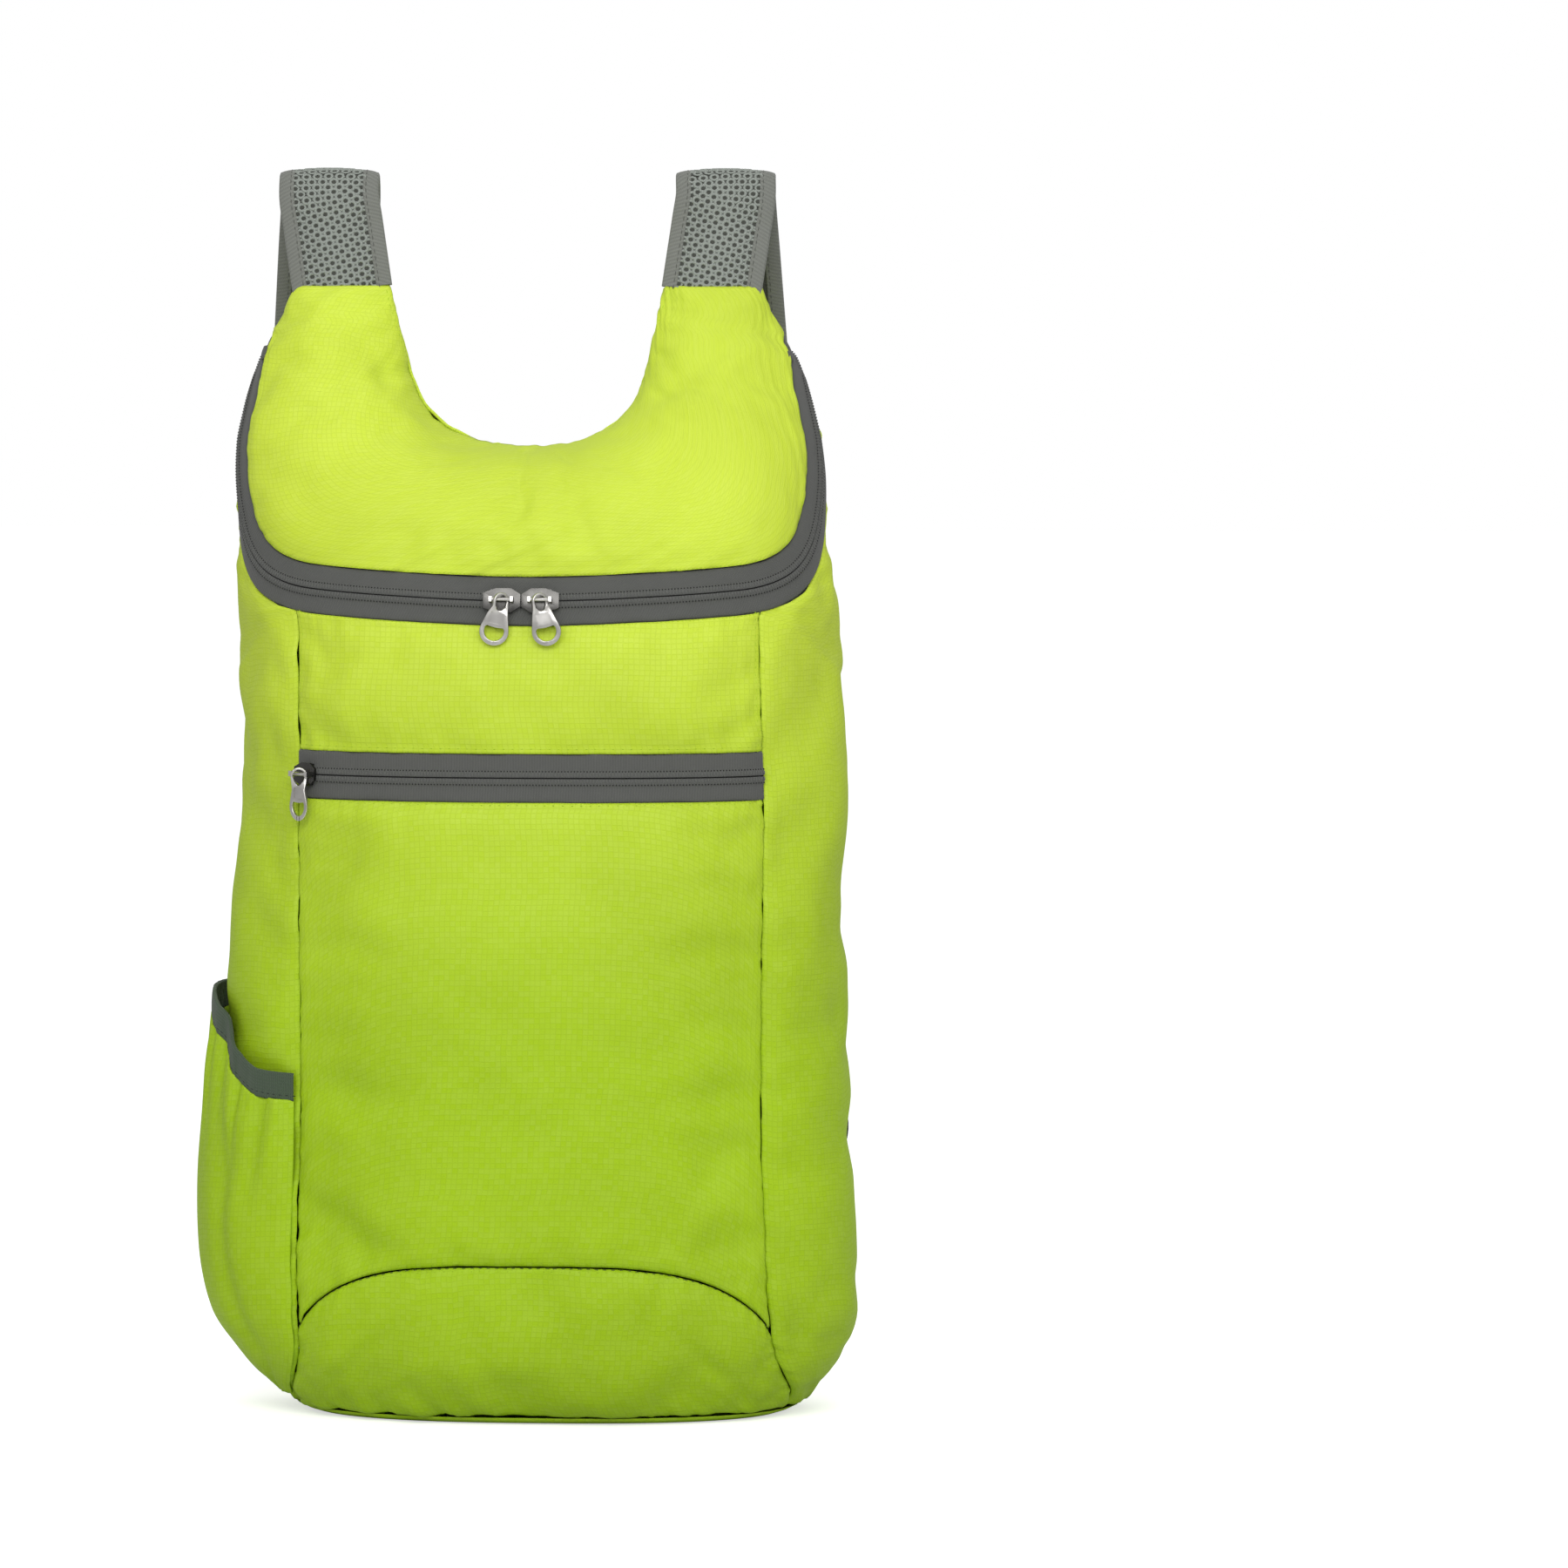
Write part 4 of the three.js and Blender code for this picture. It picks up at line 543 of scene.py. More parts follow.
def evaluated_mesh(obj):
    """A new mesh of an object as its modifiers or curve settings make it."""
    graph = bpy.context.evaluated_depsgraph_get()
    return bpy.data.meshes.new_from_object(obj.evaluated_get(graph))


def make_object(name, verts, faces, uvs=None, material=None):
    """A mesh object in the row frame, from millimetres, with an own UV map in metres."""
    mesh = bpy.data.meshes.new(name)
    mesh.from_pydata((np.asarray(verts) * MM).tolist(), [], faces.tolist())
    if uvs is not None:
        layer = mesh.uv_layers.new(name="Cloth")
        corner = np.zeros(len(mesh.loops), dtype=np.int32)
        mesh.loops.foreach_get("vertex_index", corner)
        layer.data.foreach_set("uv", (np.asarray(uvs)[corner] * MM).astype(np.float32).ravel())
    mesh.polygons.foreach_set("use_smooth", [True] * len(mesh.polygons))
    mesh.validate()
    obj = linked(name, mesh)
    if material:
        mesh.materials.append(material)
    return obj


def grid_quads(nu, nv):
    i, j = np.meshgrid(np.arange(nu - 1), np.arange(nv - 1), indexing="ij")
    a = (i * nv + j).ravel()
    return np.stack([a, a + nv, a + nv + 1, a + 1], axis=1)


def faces_inwards(points, normals):
    """Whether the quads of a grid face against its normals, judged in its middle."""
    middle = (points.shape[0] // 2, points.shape[1] // 2)
    beside = points[middle[0] + 1, middle[1]] - points[middle]
    above = points[middle[0], middle[1] + 1] - points[middle]
    return np.cross(beside, above) @ normals[middle] < 0


def sheet_object(name, points, normals, thickness, material):
    """A closed sheet of cloth between a grid of outer points and the same grid moved inwards."""
    nu, nv = points.shape[:2]
    s, t = lengths(points)
    inner = points - normals * thickness
    verts = np.concatenate([points.reshape(-1, 3), inner.reshape(-1, 3)])
    uvs = np.stack([np.tile(s.ravel(), 2), np.tile(t.ravel(), 2)], axis=1)
    quads = grid_quads(nu, nv)
    n = nu * nv
    rim = np.concatenate([np.arange(nv), np.arange(1, nu) * nv + nv - 1,
                          (nu - 1) * nv + np.arange(nv - 2, -1, -1), np.arange(nu - 2, 0, -1) * nv])
    after = np.roll(rim, -1)
    walls = np.stack([rim, after, after + n, rim + n], axis=1)
    faces = np.concatenate([quads, quads[:, ::-1] + n, walls])
    if faces_inwards(points, normals):
        faces = faces[:, ::-1]
    return make_object(name, verts, faces, uvs, material)


def spaced(count, crowd=0.0):
    """Shares from 0 to 1, crowded towards both ends."""
    t = np.linspace(0, 1, count)
    return lerp(t, 0.5 - 0.5 * np.cos(np.pi * t), crowd)


def flat_sheet(points):
    """Measures the lengths along both ways of a grid of points, and keeps nothing of them."""
    s, t = lengths(points)


def finish_piece(obj, body, *nodes, slot=None):
    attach(obj, body)
    if nodes:
        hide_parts(*nodes)
    return obj


# Materials

def linear(r, g, b):
    """Scene colour of an sRGB colour given as 0 to 255."""
    def one(c):
        c = c / 255
        return c / 12.92 if c <= 0.04045 else ((c + 0.055) / 1.055) ** 2.4
    return one(r), one(g), one(b), 1.0


class Nodes:
    """Short hand for adding linked nodes to a tree."""

    def __init__(self, tree):
        self.tree = tree

    def add(self, kind, inputs=None, **settings):
        node = self.tree.nodes.new(kind)
        for key, value in settings.items():
            setattr(node, key, value)
        for key, value in (inputs or {}).items():
            if isinstance(value, bpy.types.NodeSocket):
                self.tree.links.new(value, node.inputs[key])
            elif value is not None:
                node.inputs[key].default_value = value
        return node

    def math(self, operation, a, b=None, c=None, clamp=False):
        values = {k: v for k, v in enumerate((a, b, c)) if v is not None}
        return self.add("ShaderNodeMath", values, operation=operation, use_clamp=clamp).outputs[0]

    def vector(self, operation, a, b=None, scale=None):
        values = {0: a}
        if b is not None:
            values[1] = b
        if scale is not None:
            values["Scale"] = scale
        return self.add("ShaderNodeVectorMath", values, operation=operation).outputs[0]

    def mix(self, a, b, factor, blend="MIX"):
        node = self.add("ShaderNodeMix", data_type="RGBA", blend_type=blend)
        for key, value in ((0, factor), (6, a), (7, b)):
            if isinstance(value, bpy.types.NodeSocket):
                self.tree.links.new(value, node.inputs[key])
            else:
                node.inputs[key].default_value = value
        return node.outputs[2]

    def ramp(self, value, low, high, to_low=0.0, to_high=1.0):
        return self.add("ShaderNodeMapRange", {0: value, 1: low, 2: high, 3: to_low, 4: to_high},
                        interpolation_type="SMOOTHSTEP").outputs[0]


def node_group(name, inputs, outputs):
    """A new shader node group with named sockets, and its helper, input and output nodes."""
    tree = bpy.data.node_groups.new(name, "ShaderNodeTree")
    for label, kind, value in inputs:
        item = tree.interface.new_socket(name=label, in_out="INPUT", socket_type=kind)
        if value is not None:
            item.default_value = value
    for label, kind in outputs:
        tree.interface.new_socket(name=label, in_out="OUTPUT", socket_type=kind)
    nodes = Nodes(tree)
    return tree, nodes, tree.nodes.new("NodeGroupInput"), tree.nodes.new("NodeGroupOutput")


def ripstop_group():
    """Fine cloth with a square grid of thicker threads. Patch differs from square to square."""
    tree, n, start, end = node_group(
        "Ripstop grid",
        [("Place", "NodeSocketVector", None), ("Pitch", "NodeSocketFloat", 0.0023),
         ("Line Share", "NodeSocketFloat", 0.16)],
        [("Lines", "NodeSocketFloat"), ("Patch", "NodeSocketFloat"), ("Weave", "NodeSocketFloat")])
    size = n.math("DIVIDE", 1.0, start.outputs["Pitch"])
    grid = n.vector("SCALE", start.outputs["Place"], scale=size)
    split = n.add("ShaderNodeSeparateXYZ", {0: grid})
    lines = []
    for axis in (0, 1):
        centre = n.math("ABSOLUTE", n.math("SUBTRACT", n.math("FRACT", split.outputs[axis]), 0.5))
        lines.append(n.ramp(centre, 0.5, n.math("SUBTRACT", 0.5, start.outputs["Line Share"]), 1.0, 0.0))
    tree.links.new(n.math("MAXIMUM", *lines), end.inputs["Lines"])
    cell = n.vector("FLOOR", grid)
    noise = n.add("ShaderNodeTexWhiteNoise", {0: cell}, noise_dimensions="3D")
    tree.links.new(noise.outputs[0], end.inputs["Patch"])
    fine = n.add("ShaderNodeTexNoise", {"Vector": grid, "Scale": 5.0, "Detail": 1.0})
    tree.links.new(fine.outputs[0], end.inputs["Weave"])
    return tree


def woven_group():
    """Woven threads crossing, as a height from 0 to 1, on a place in metres."""
    tree, n, start, end = node_group(
        "Woven threads",
        [("Place", "NodeSocketVector", None), ("Rib Pitch", "NodeSocketFloat", 0.0009),
         ("Thread Pitch", "NodeSocketFloat", 0.0006), ("Slant", "NodeSocketFloat", 0.0)],
        [("Height", "NodeSocketFloat")])
    split = n.add("ShaderNodeSeparateXYZ", {0: start.outputs["Place"]})
    slanted = n.math("MULTIPLY_ADD", split.outputs[1], start.outputs["Slant"], split.outputs[0])
    turns = 2 * math.pi
    rib = n.math("SINE", n.math("MULTIPLY", n.math("DIVIDE", slanted, start.outputs["Rib Pitch"]), turns))
    crossed = n.math("DIVIDE", split.outputs[1], start.outputs["Thread Pitch"])
    thread = n.math("SINE", n.math("MULTIPLY", crossed, turns))
    ridge = n.math("MULTIPLY_ADD", rib, 0.25, 0.5)
    both = n.math("MULTIPLY_ADD", n.math("MULTIPLY", rib, thread), 0.25, ridge)
    tree.links.new(both, end.inputs["Height"])
    return tree


def handling_and_top_light_group():
    """Slow change of tone over the object, from handling and dye, and the fine dust that takes off shine. The
    third output is painted top light: it rises with height to lighten the cloth towards the top.
    """
    tree, n, start, end = node_group(
        "Handling and painted top light", [("Size", "NodeSocketFloat", 12.0)],
        [("Tone", "NodeSocketFloat"), ("Dust", "NodeSocketFloat"), ("Fade", "NodeSocketFloat")])
    place = n.add("ShaderNodeTexCoord").outputs["Object"]
    slow = n.add("ShaderNodeTexNoise", {"Vector": place, "Scale": start.outputs["Size"], "Detail": 3.0})
    dust = n.add("ShaderNodeTexNoise", {"Vector": place, "Scale": 160.0, "Detail": 4.0})
    tree.links.new(n.ramp(slow.outputs[0], 0.3, 0.7), end.inputs["Tone"])
    tree.links.new(n.ramp(dust.outputs[0], 0.35, 0.75), end.inputs["Dust"])
    # Painted top light: a ramp on the height, from 0.12 m to 0.4 m, that lightens the cloth higher up.
    level = n.add("ShaderNodeSeparateXYZ", {0: place}).outputs[2]
    tree.links.new(n.ramp(level, 0.12, 0.4), end.inputs["Fade"])
    return tree


def new_material(name):
    material = bpy.data.materials.new(name)
    material.use_nodes = True
    tree = material.node_tree
    tree.nodes.clear()
    n = Nodes(tree)
    surface = n.add("ShaderNodeBsdfPrincipled")
    out = n.add("ShaderNodeOutputMaterial")
    tree.links.new(surface.outputs[0], out.inputs[0])
    return material, n, surface


def set_sockets(surface, **values):
    for key, value in values.items():
        surface.inputs[key.replace("_", " ")].default_value = value


def bump(n, surface, height, distance, strength=1.0):
    node = n.add("ShaderNodeBump", {"Height": height, "Distance": distance, "Strength": strength})
    n.tree.links.new(node.outputs[0], surface.inputs["Normal"])


class Groups:
    ripstop = None
    woven = None
    handling_and_top_light = None


def cloth_place(n):
    return n.add("ShaderNodeUVMap", uv_map="Cloth").outputs[0]


def ripstop_material(name, colour, painted_top_lime, pitch, shine=0.5):
    material, n, surface = new_material(name)
    grid = n.add("ShaderNodeGroup", node_tree=Groups.ripstop)
    n.tree.links.new(cloth_place(n), grid.inputs["Place"])
    grid.inputs["Pitch"].default_value = pitch
    tone_and_top_light = n.add("ShaderNodeGroup", node_tree=Groups.handling_and_top_light)
    # Painted top light: the lime is mixed towards a lighter lime higher up on the bag.
    base = n.mix(colour, painted_top_lime, tone_and_top_light.outputs["Fade"])
    worn = n.mix(base, (0.9, 0.9, 0.8, 1), tone_and_top_light.outputs["Tone"], "MULTIPLY")
    checked = n.mix(worn, (1, 1, 0.6, 1), n.math("MULTIPLY", grid.outputs["Patch"], 0.03))
    lined = n.mix(checked, (0.88, 0.9, 0.75, 1), n.math("MULTIPLY", grid.outputs["Lines"], 0.6), "MULTIPLY")
    n.tree.links.new(lined, surface.inputs["Base Color"])
    rough = n.math("MULTIPLY_ADD", grid.outputs["Lines"], 0.08, shine)
    rough = n.math("MULTIPLY_ADD", tone_and_top_light.outputs["Dust"], 0.05, rough)
    n.tree.links.new(rough, surface.inputs["Roughness"])
    height = n.math("ADD", grid.outputs["Lines"], n.math("MULTIPLY", grid.outputs["Weave"], 0.6))
    bump(n, surface, height, 0.00012, 0.5)
    set_sockets(surface, Sheen_Weight=0.08, Sheen_Roughness=0.4, Specular_IOR_Level=0.22)
    surface.inputs["Sheen Tint"].default_value = painted_top_lime
    return material


def woven_material(name, colour, rib, thread, slant=0.0, depth=0.0002, roughness=0.78, contrast=0.35):
    material, n, surface = new_material(name)
    weave = n.add("ShaderNodeGroup", node_tree=Groups.woven)
    n.tree.links.new(cloth_place(n), weave.inputs["Place"])
    weave.inputs["Rib Pitch"].default_value = rib
    weave.inputs["Thread Pitch"].default_value = thread
    weave.inputs["Slant"].default_value = slant
    tone_and_top_light = n.add("ShaderNodeGroup", node_tree=Groups.handling_and_top_light)
    deep = tuple(c * (1 - contrast) for c in colour[:3]) + (1,)
    light = tuple(c * (1 + contrast) for c in colour[:3]) + (1,)
    base = n.mix(deep, light, weave.outputs["Height"])
    shaded = n.mix(base, light, n.math("MULTIPLY", tone_and_top_light.outputs["Tone"], 0.2))
    n.tree.links.new(shaded, surface.inputs["Base Color"])
    rough = n.math("MULTIPLY_ADD", tone_and_top_light.outputs["Dust"], 0.1, roughness)
    n.tree.links.new(rough, surface.inputs["Roughness"])
    bump(n, surface, weave.outputs["Height"], depth, 0.8)
    set_sockets(surface, Sheen_Weight=0.15, Sheen_Roughness=0.5, Specular_IOR_Level=0.3)
    return material


def moulded_material(name, colour, roughness, metallic=0.0, grain=0.00003):
    material, n, surface = new_material(name)
    tone_and_top_light = n.add("ShaderNodeGroup", node_tree=Groups.handling_and_top_light)
    tone_and_top_light.inputs["Size"].default_value = 90.0
    deep = tuple(c * 0.8 for c in colour[:3]) + (1,)
    light = tuple(min(1, c * 1.15) for c in colour[:3]) + (1,)
    n.tree.links.new(n.mix(deep, light, tone_and_top_light.outputs["Tone"]), surface.inputs["Base Color"])
    rough = n.math("MULTIPLY_ADD", tone_and_top_light.outputs["Dust"], 0.12, roughness)
    n.tree.links.new(rough, surface.inputs["Roughness"])
    bump(n, surface, tone_and_top_light.outputs["Dust"], grain, 0.5)
    set_sockets(surface, Metallic=metallic)
    return material


class Look:
    """Materials and fold sizes shared by the operators."""
    pucker = 1.0
    billow = 0.9
    materials = {}


LOOK = Look()


def material(name):
    return LOOK.materials[name]


# Geometry node trees

def path_tree(name, inputs, build, every_point=False):
    """A tree that sets one small shape along every line of its input, turned by the line's out attribute."""
    tree = bpy.data.node_groups.new(name, "GeometryNodeTree")
    tree.interface.new_socket(name="Geometry", in_out="INPUT", socket_type="NodeSocketGeometry")
    for label, kind, value in [("Pitch", "NodeSocketFloat", 0.003)] + inputs:
        item = tree.interface.new_socket(name=label, in_out="INPUT", socket_type=kind)
        if value is not None:
            item.default_value = value
    tree.interface.new_socket(name="Material", in_out="INPUT", socket_type="NodeSocketMaterial")
    tree.interface.new_socket(name="Geometry", in_out="OUTPUT", socket_type="NodeSocketGeometry")
    n = Nodes(tree)
    start, end = tree.nodes.new("NodeGroupInput"), tree.nodes.new("NodeGroupOutput")
    curve = n.add("GeometryNodeMeshToCurve", {0: start.outputs["Geometry"]})
    how = {"Curve": curve.outputs[0]}
    if not every_point:
        how["Length"] = start.outputs["Pitch"]
    points = n.add("GeometryNodeCurveToPoints", how, mode="EVALUATED" if every_point else "LENGTH")
    out = n.add("GeometryNodeInputNamedAttribute", {"Name": "out"}, data_type="FLOAT_VECTOR")
    turn = n.add("FunctionNodeAxesToRotation", primary_axis="Z", secondary_axis="X")
    tree.links.new(out.outputs[0], turn.inputs[0])
    tree.links.new(points.outputs["Tangent"], turn.inputs[1])
    shape = build(n, start)
    placed = n.add("GeometryNodeInstanceOnPoints", {"Points": points.outputs[0], "Instance": shape,
                                                    "Rotation": turn.outputs[0]})
    real = n.add("GeometryNodeRealizeInstances", {0: placed.outputs[0]})
    smooth_shade = n.add("GeometryNodeSetShadeSmooth", {0: real.outputs[0]})
    coloured = n.add("GeometryNodeSetMaterial",
                     {0: smooth_shade.outputs[0], "Material": start.outputs["Material"]})
    tree.links.new(coloured.outputs[0], end.inputs[0])
    return tree


def scaled(n, start, shape):
    """A shape one unit wide, made as long, wide and high as the tree's inputs say."""
    size = n.add("ShaderNodeCombineXYZ", {0: start.outputs["Length"], 1: start.outputs["Width"],
                                          2: start.outputs["Height"]})
    return n.add("GeometryNodeTransform", {0: shape.outputs[0], "Scale": size.outputs[0]}).outputs[0]


def bead(n, start):
    """A small rounded body."""
    return scaled(n, start, n.add("GeometryNodeMeshUVSphere", {0: 6, 1: 4, 2: 0.5}))


BEAD_INPUTS = [("Length", "NodeSocketFloat", 0.002), ("Width", "NodeSocketFloat", 0.0005),
               ("Height", "NodeSocketFloat", 0.0004)]


def mesh_cell(n, start):
    """One cell of air mesh: a flat ring that meets its neighbours, with a round hole."""
    outer = n.add("GeometryNodeMeshCircle", {"Vertices": 8, "Radius": 0.345}, fill_type="NONE")
    tube = n.add("GeometryNodeCurvePrimitiveCircle", {"Resolution": 4}, mode="RADIUS")
    tube.inputs["Radius"].default_value = 0.15
    path = n.add("GeometryNodeMeshToCurve", {0: outer.outputs[0]})
    return scaled(n, start, n.add("GeometryNodeCurveToMesh", {0: path.outputs[0], 1: tube.outputs[0]}))


def run_tree(name, tree, rows, values, used):
    """Runs a path tree on rows of points in millimetres, with their ways out, and keeps the plain mesh."""
    verts, edges, ways = [], [], []
    for points, out in rows:
        first = len(verts)
        verts.extend((np.asarray(points) * MM).tolist())
        ways.extend(np.asarray(out).tolist())
        edges.extend((first + i, first + i + 1) for i in range(len(points) - 1))
    source = bpy.data.meshes.new(name + "_path")
    source.from_pydata(verts, edges, [])
    attribute = source.attributes.new("out", "FLOAT_VECTOR", "POINT")
    attribute.data.foreach_set("vector", np.array(ways, np.float32).ravel())
    obj = linked(name, source)
    modifier = obj.modifiers.new("Repeat", "NODES")
    modifier.node_group = tree
    sockets = {i.name: i.identifier for i in tree.interface.items_tree if i.in_out == "INPUT"}
    for label, value in {**values, "Material": used}.items():
        modifier[sockets[label]] = value
    made = evaluated_mesh(obj)
    obj.modifiers.remove(modifier)
    obj.data = made
    made.name = name
    bpy.data.meshes.remove(source)
    if not len(made.polygons):
        raise RuntimeError(name + " came out empty")
    return obj


class Trees:
    stitch = None
    air = None


def stitches(name, rows, colour, pitch=3.0, length=2.3, width=0.5, height=0.45):
    """Rows of stitches as one piece on the bag. Each row is (points, ways out)."""
    obj = run_tree(name, Trees.stitch, rows,
                   {"Pitch": pitch * MM, "Length": length * MM, "Width": width * MM, "Height": height * MM},
                   material(colour))
    return finish_piece(obj, "bag")


# Body panels

def panel(name, points, borders, seed, node, folds=()):
    """Folds a grid of the body's surface and makes the panel of it."""
    ways = grid_normals(points, away(points))
    rise = relief(points, borders, seed, LOOK) + crease(points, folds)
    rise = rise + settled(points, ways)
    outer = points + ways * rise[..., None]
    normals = grid_normals(outer, ways)
    obj = sheet_object(name, outer, normals, CLOTH, material("lime"))
    finish_piece(obj, "bag", node, slot="lime_cloth")
    flat_sheet(points)
    return outer, normals


def front_grid(lower, upper, nu, nv):
    u, v = np.meshgrid(spaced(nu, EDGE_CROWD), spaced(nv, EDGE_CROWD), indexing="ij")
    across = 2 * u - 1
    first = across * front_seam(lower(0.0 * u))
    angle = across * front_seam(lerp(lower(first), upper(first), v))
    return body_point(angle, lerp(lower(angle), upper(angle), v))


def lid_grid(nu, nv):
    a, h = beside_zip(STATIONS, BORDER)
    horn = lerp(BODY_HEIGHT, h[0], np.array([0, 0.5]))
    rows = np.concatenate([np.stack([-back_seam(horn), horn], 1), np.stack([a, h], 1),
                           np.stack([back_seam(horn), horn], 1)[::-1]])
    line = curve_through(rows * [DEGREE_LENGTH, 1], PER_STATION)
    edge_angle, edge_height = line[:, 0] / DEGREE_LENGTH, line[:, 1]
    s = arc(body_point(edge_angle, edge_height))
    at = np.interp(np.linspace(0, s[-1], nu), s, np.arange(len(line)))
    edge_angle, edge_height = by_index(np.stack([edge_angle, edge_height], 1), at)
    u = at / (len(line) - 1)
    neck = along(NECK_LINE, u)
    neck_angle = angle_at(neck[:, 0], neck[:, 1])
    span = np.linalg.norm(body_point(edge_angle, edge_height) - body_point(neck_angle, neck[:, 1]), axis=-1)
    t = np.linspace(0, 1, nv)
    v = (1 - (1 - t) ** 1.7)[None, :]
    angle = lerp(edge_angle[:, None], neck_angle[:, None], v)
    height = lerp(edge_height[:, None], neck[:, 1:2], v)
    return body_point(angle, height, neck_fade((1 - v) * span[:, None]))


def gusset_grid(side, nu, nv):
    top = beside_zip(1.0, -BORDER)[1]
    corner = beside_zip(CROSSING, -BORDER)[1]
    t = np.linspace(0, 1, nu)
    foot, rise = GUSSET_FOOT_SHARE, GUSSET_RISE_SHARE
    low = BASE_SEAM_HEIGHT
    straight = np.interp(t, [0, foot, rise], [low, ARC_SIDE_HEIGHT, corner])
    share = np.clip((t - rise) / (1 - rise), 0, 1) * GUSSET_ZIP_SHARE
    zip_angle, zip_height = zip_place(lerp(CROSSING, 1, share), -BORDER)
    near_height = np.where(t <= rise, straight, zip_height)
    near_angle = np.where(t <= rise, front_seam(straight), zip_angle)
    last = lerp(GUSSET_BACK_SHARE, 1, GUSSET_ZIP_SHARE)
    heights = [low, ARC_SIDE_HEIGHT, GUSSET_BACK_SHARE * top, last * top]
    back_height = np.interp(t, [0, foot, rise, 1], heights)
    v = spaced(nv, EDGE_CROWD)[None, :]
    angle = side * lerp(near_angle[:, None], back_seam(back_height)[:, None], v)
    return body_point(angle, lerp(near_height[:, None], back_height[:, None], v))


NECK_SAMPLES = along(NECK_LINE, np.linspace(0, 1, 61))


def neck_distance(x, height):
    best = np.full(x.shape, 1e9)
    for p, q in zip(NECK_SAMPLES[:-1], NECK_SAMPLES[1:]):
        d = q - p
        t = np.clip(((x - p[0]) * d[0] + (height - p[1]) * d[1]) / (d @ d), 0, 1)
        best = np.minimum(best, np.hypot(x - p[0] - t * d[0], height - p[1] - t * d[1]))
    return best


def back_grid(nu, nv):
    corner = HORN_CORNER_COLUMN
    t = np.linspace(0, 1, nv)
    u, v = np.meshgrid(spaced(nu, 0.0), 1 - (1 - t) ** 1.25, indexing="ij")
    across = 2 * u - 1
    distance = np.abs(across)
    side_height = lerp(BASE_SEAM_HEIGHT, BODY_HEIGHT, v)
    level = BACK_LEVEL_SHARE * BODY_HEIGHT
    bend = np.clip((side_height - level) / (BODY_HEIGHT - level), 0, 1)
    side_reach = 180 - back_seam(side_height)
    top_reach = 180 - back_seam(BODY_HEIGHT)
    on_neck = along(NECK_LINE, 0.5 + 0.5 * np.minimum(distance / corner, 1))
    neck_share = angle_at(on_neck[..., 0], on_neck[..., 1]) / top_reach
    beyond = np.clip((distance - corner) / (1 - corner), 0, 1)
    top_share = lerp(neck_share, 1, beyond)
    height = np.where(side_height <= level, side_height, lerp(level, on_neck[..., 1], bend))
    reach = lerp(distance, top_share, bend) * side_reach
    angle = 180 - np.sign(across) * reach
    x = np.sign(across) * section(height)[0] * np.sin(np.radians(reach)) ** (2 / SECTION_POWER)
    fade = neck_fade(neck_distance(x, height))
    fade = np.where((bend >= 0.9999) & (distance <= corner), 0, fade)
    return body_point(angle, height, fade)


def edge_row(grid, normals, side, inset, sink=0.1):
    """A line on a grid, a way in from one of its borders, and its normals."""
    if side in (2, 3):
        grid, normals = grid.transpose(1, 0, 2), normals.transpose(1, 0, 2)
    if side in (1, 3):
        grid, normals = grid[::-1], normals[::-1]
    s, _ = lengths(grid)
    n_rows = grid.shape[0]
    line, ways = [], []
    for j in range(grid.shape[1]):
        k = min(int(np.searchsorted(s[:, j], inset)), n_rows - 1)
        k = max(k, 1)
        f = (inset - s[k - 1, j]) / max(s[k, j] - s[k - 1, j], 1e-9)
        f = min(max(f, 0), 1)
        line.append(lerp(grid[k - 1, j], grid[k, j], f))
        ways.append(unit(lerp(normals[k - 1, j], normals[k, j], f)))
    line, ways = np.array(line), np.array(ways)
    return line - ways * sink, ways


# Swept pieces

def frames_along(points, ways):
    """Frames along a dense list of points: arc length, place, width way and out way."""
    tangent = unit(np.gradient(points, axis=0))
    across = unit(ways - tangent * (ways * tangent).sum(-1, keepdims=True))
    return arc(points), points, across, np.cross(tangent, across)


def frames_at(frames, s):
    length, *parts = frames
    out = [np.stack([np.interp(s, length, part[:, k]) for k in range(3)], axis=-1) for part in parts]
    return s, out[0], unit(out[1]), unit(out[2])


def placed(frames, across, out):
    """Points of a section, given as across and out, at every frame."""
    _, p, a, o = frames
    across, out = np.broadcast_arrays(np.asarray(across, float), np.asarray(out, float))
    return p[:, None] + a[:, None] * across[..., None] + o[:, None] * out[..., None]


def loft_object(name, rings, used):
    """A closed body through rings of points in millimetres, with flat ends and UVs along and round it."""
    rings = np.asarray(rings)
    m, n = rings.shape[:2]
    i, j = (g.ravel() for g in np.meshgrid(np.arange(m - 1), np.arange(n), indexing="ij"))
    k = (j + 1) % n
    quads = np.stack([i * n + j, (i + 1) * n + j, (i + 1) * n + k, i * n + k], axis=1)
    flat = rings.reshape(-1, 3)
    a, b, c, d = (flat[quads[:, q]] for q in range(4))
    volume = (a * np.cross(b, c)).sum() + (a * np.cross(c, d)).sum()
    s = arc(rings.mean(axis=1))
    around = np.concatenate([[0], np.cumsum(np.linalg.norm(
        np.roll(rings, -1, axis=1) - rings, axis=-1).mean(axis=0))])
    corners = np.stack([np.stack([s[i], around[j]], 1), np.stack([s[i + 1], around[j]], 1),
                        np.stack([s[i + 1], around[j + 1]], 1), np.stack([s[i], around[j + 1]], 1)], axis=1)
    caps = [list(range(n - 1, -1, -1)), list(range((m - 1) * n, m * n))]
    if volume < 0:
        quads, corners = quads[:, ::-1], corners[:, ::-1]
        caps = [cap[::-1] for cap in caps]
    mesh = bpy.data.meshes.new(name)
    mesh.from_pydata((flat * MM).tolist(), [], quads.tolist() + caps)
    cap_uvs = np.zeros((2 * n, 2))
    layer = mesh.uv_layers.new(name="Cloth")
    uvs = np.concatenate([corners.reshape(-1, 2), cap_uvs]) * MM
    layer.data.foreach_set("uv", uvs.astype(np.float32).ravel())
    mesh.polygons.foreach_set("use_smooth", [True] * len(quads) + [False, False])
    mesh.materials.append(used)
    obj = linked(name, mesh)
    return obj


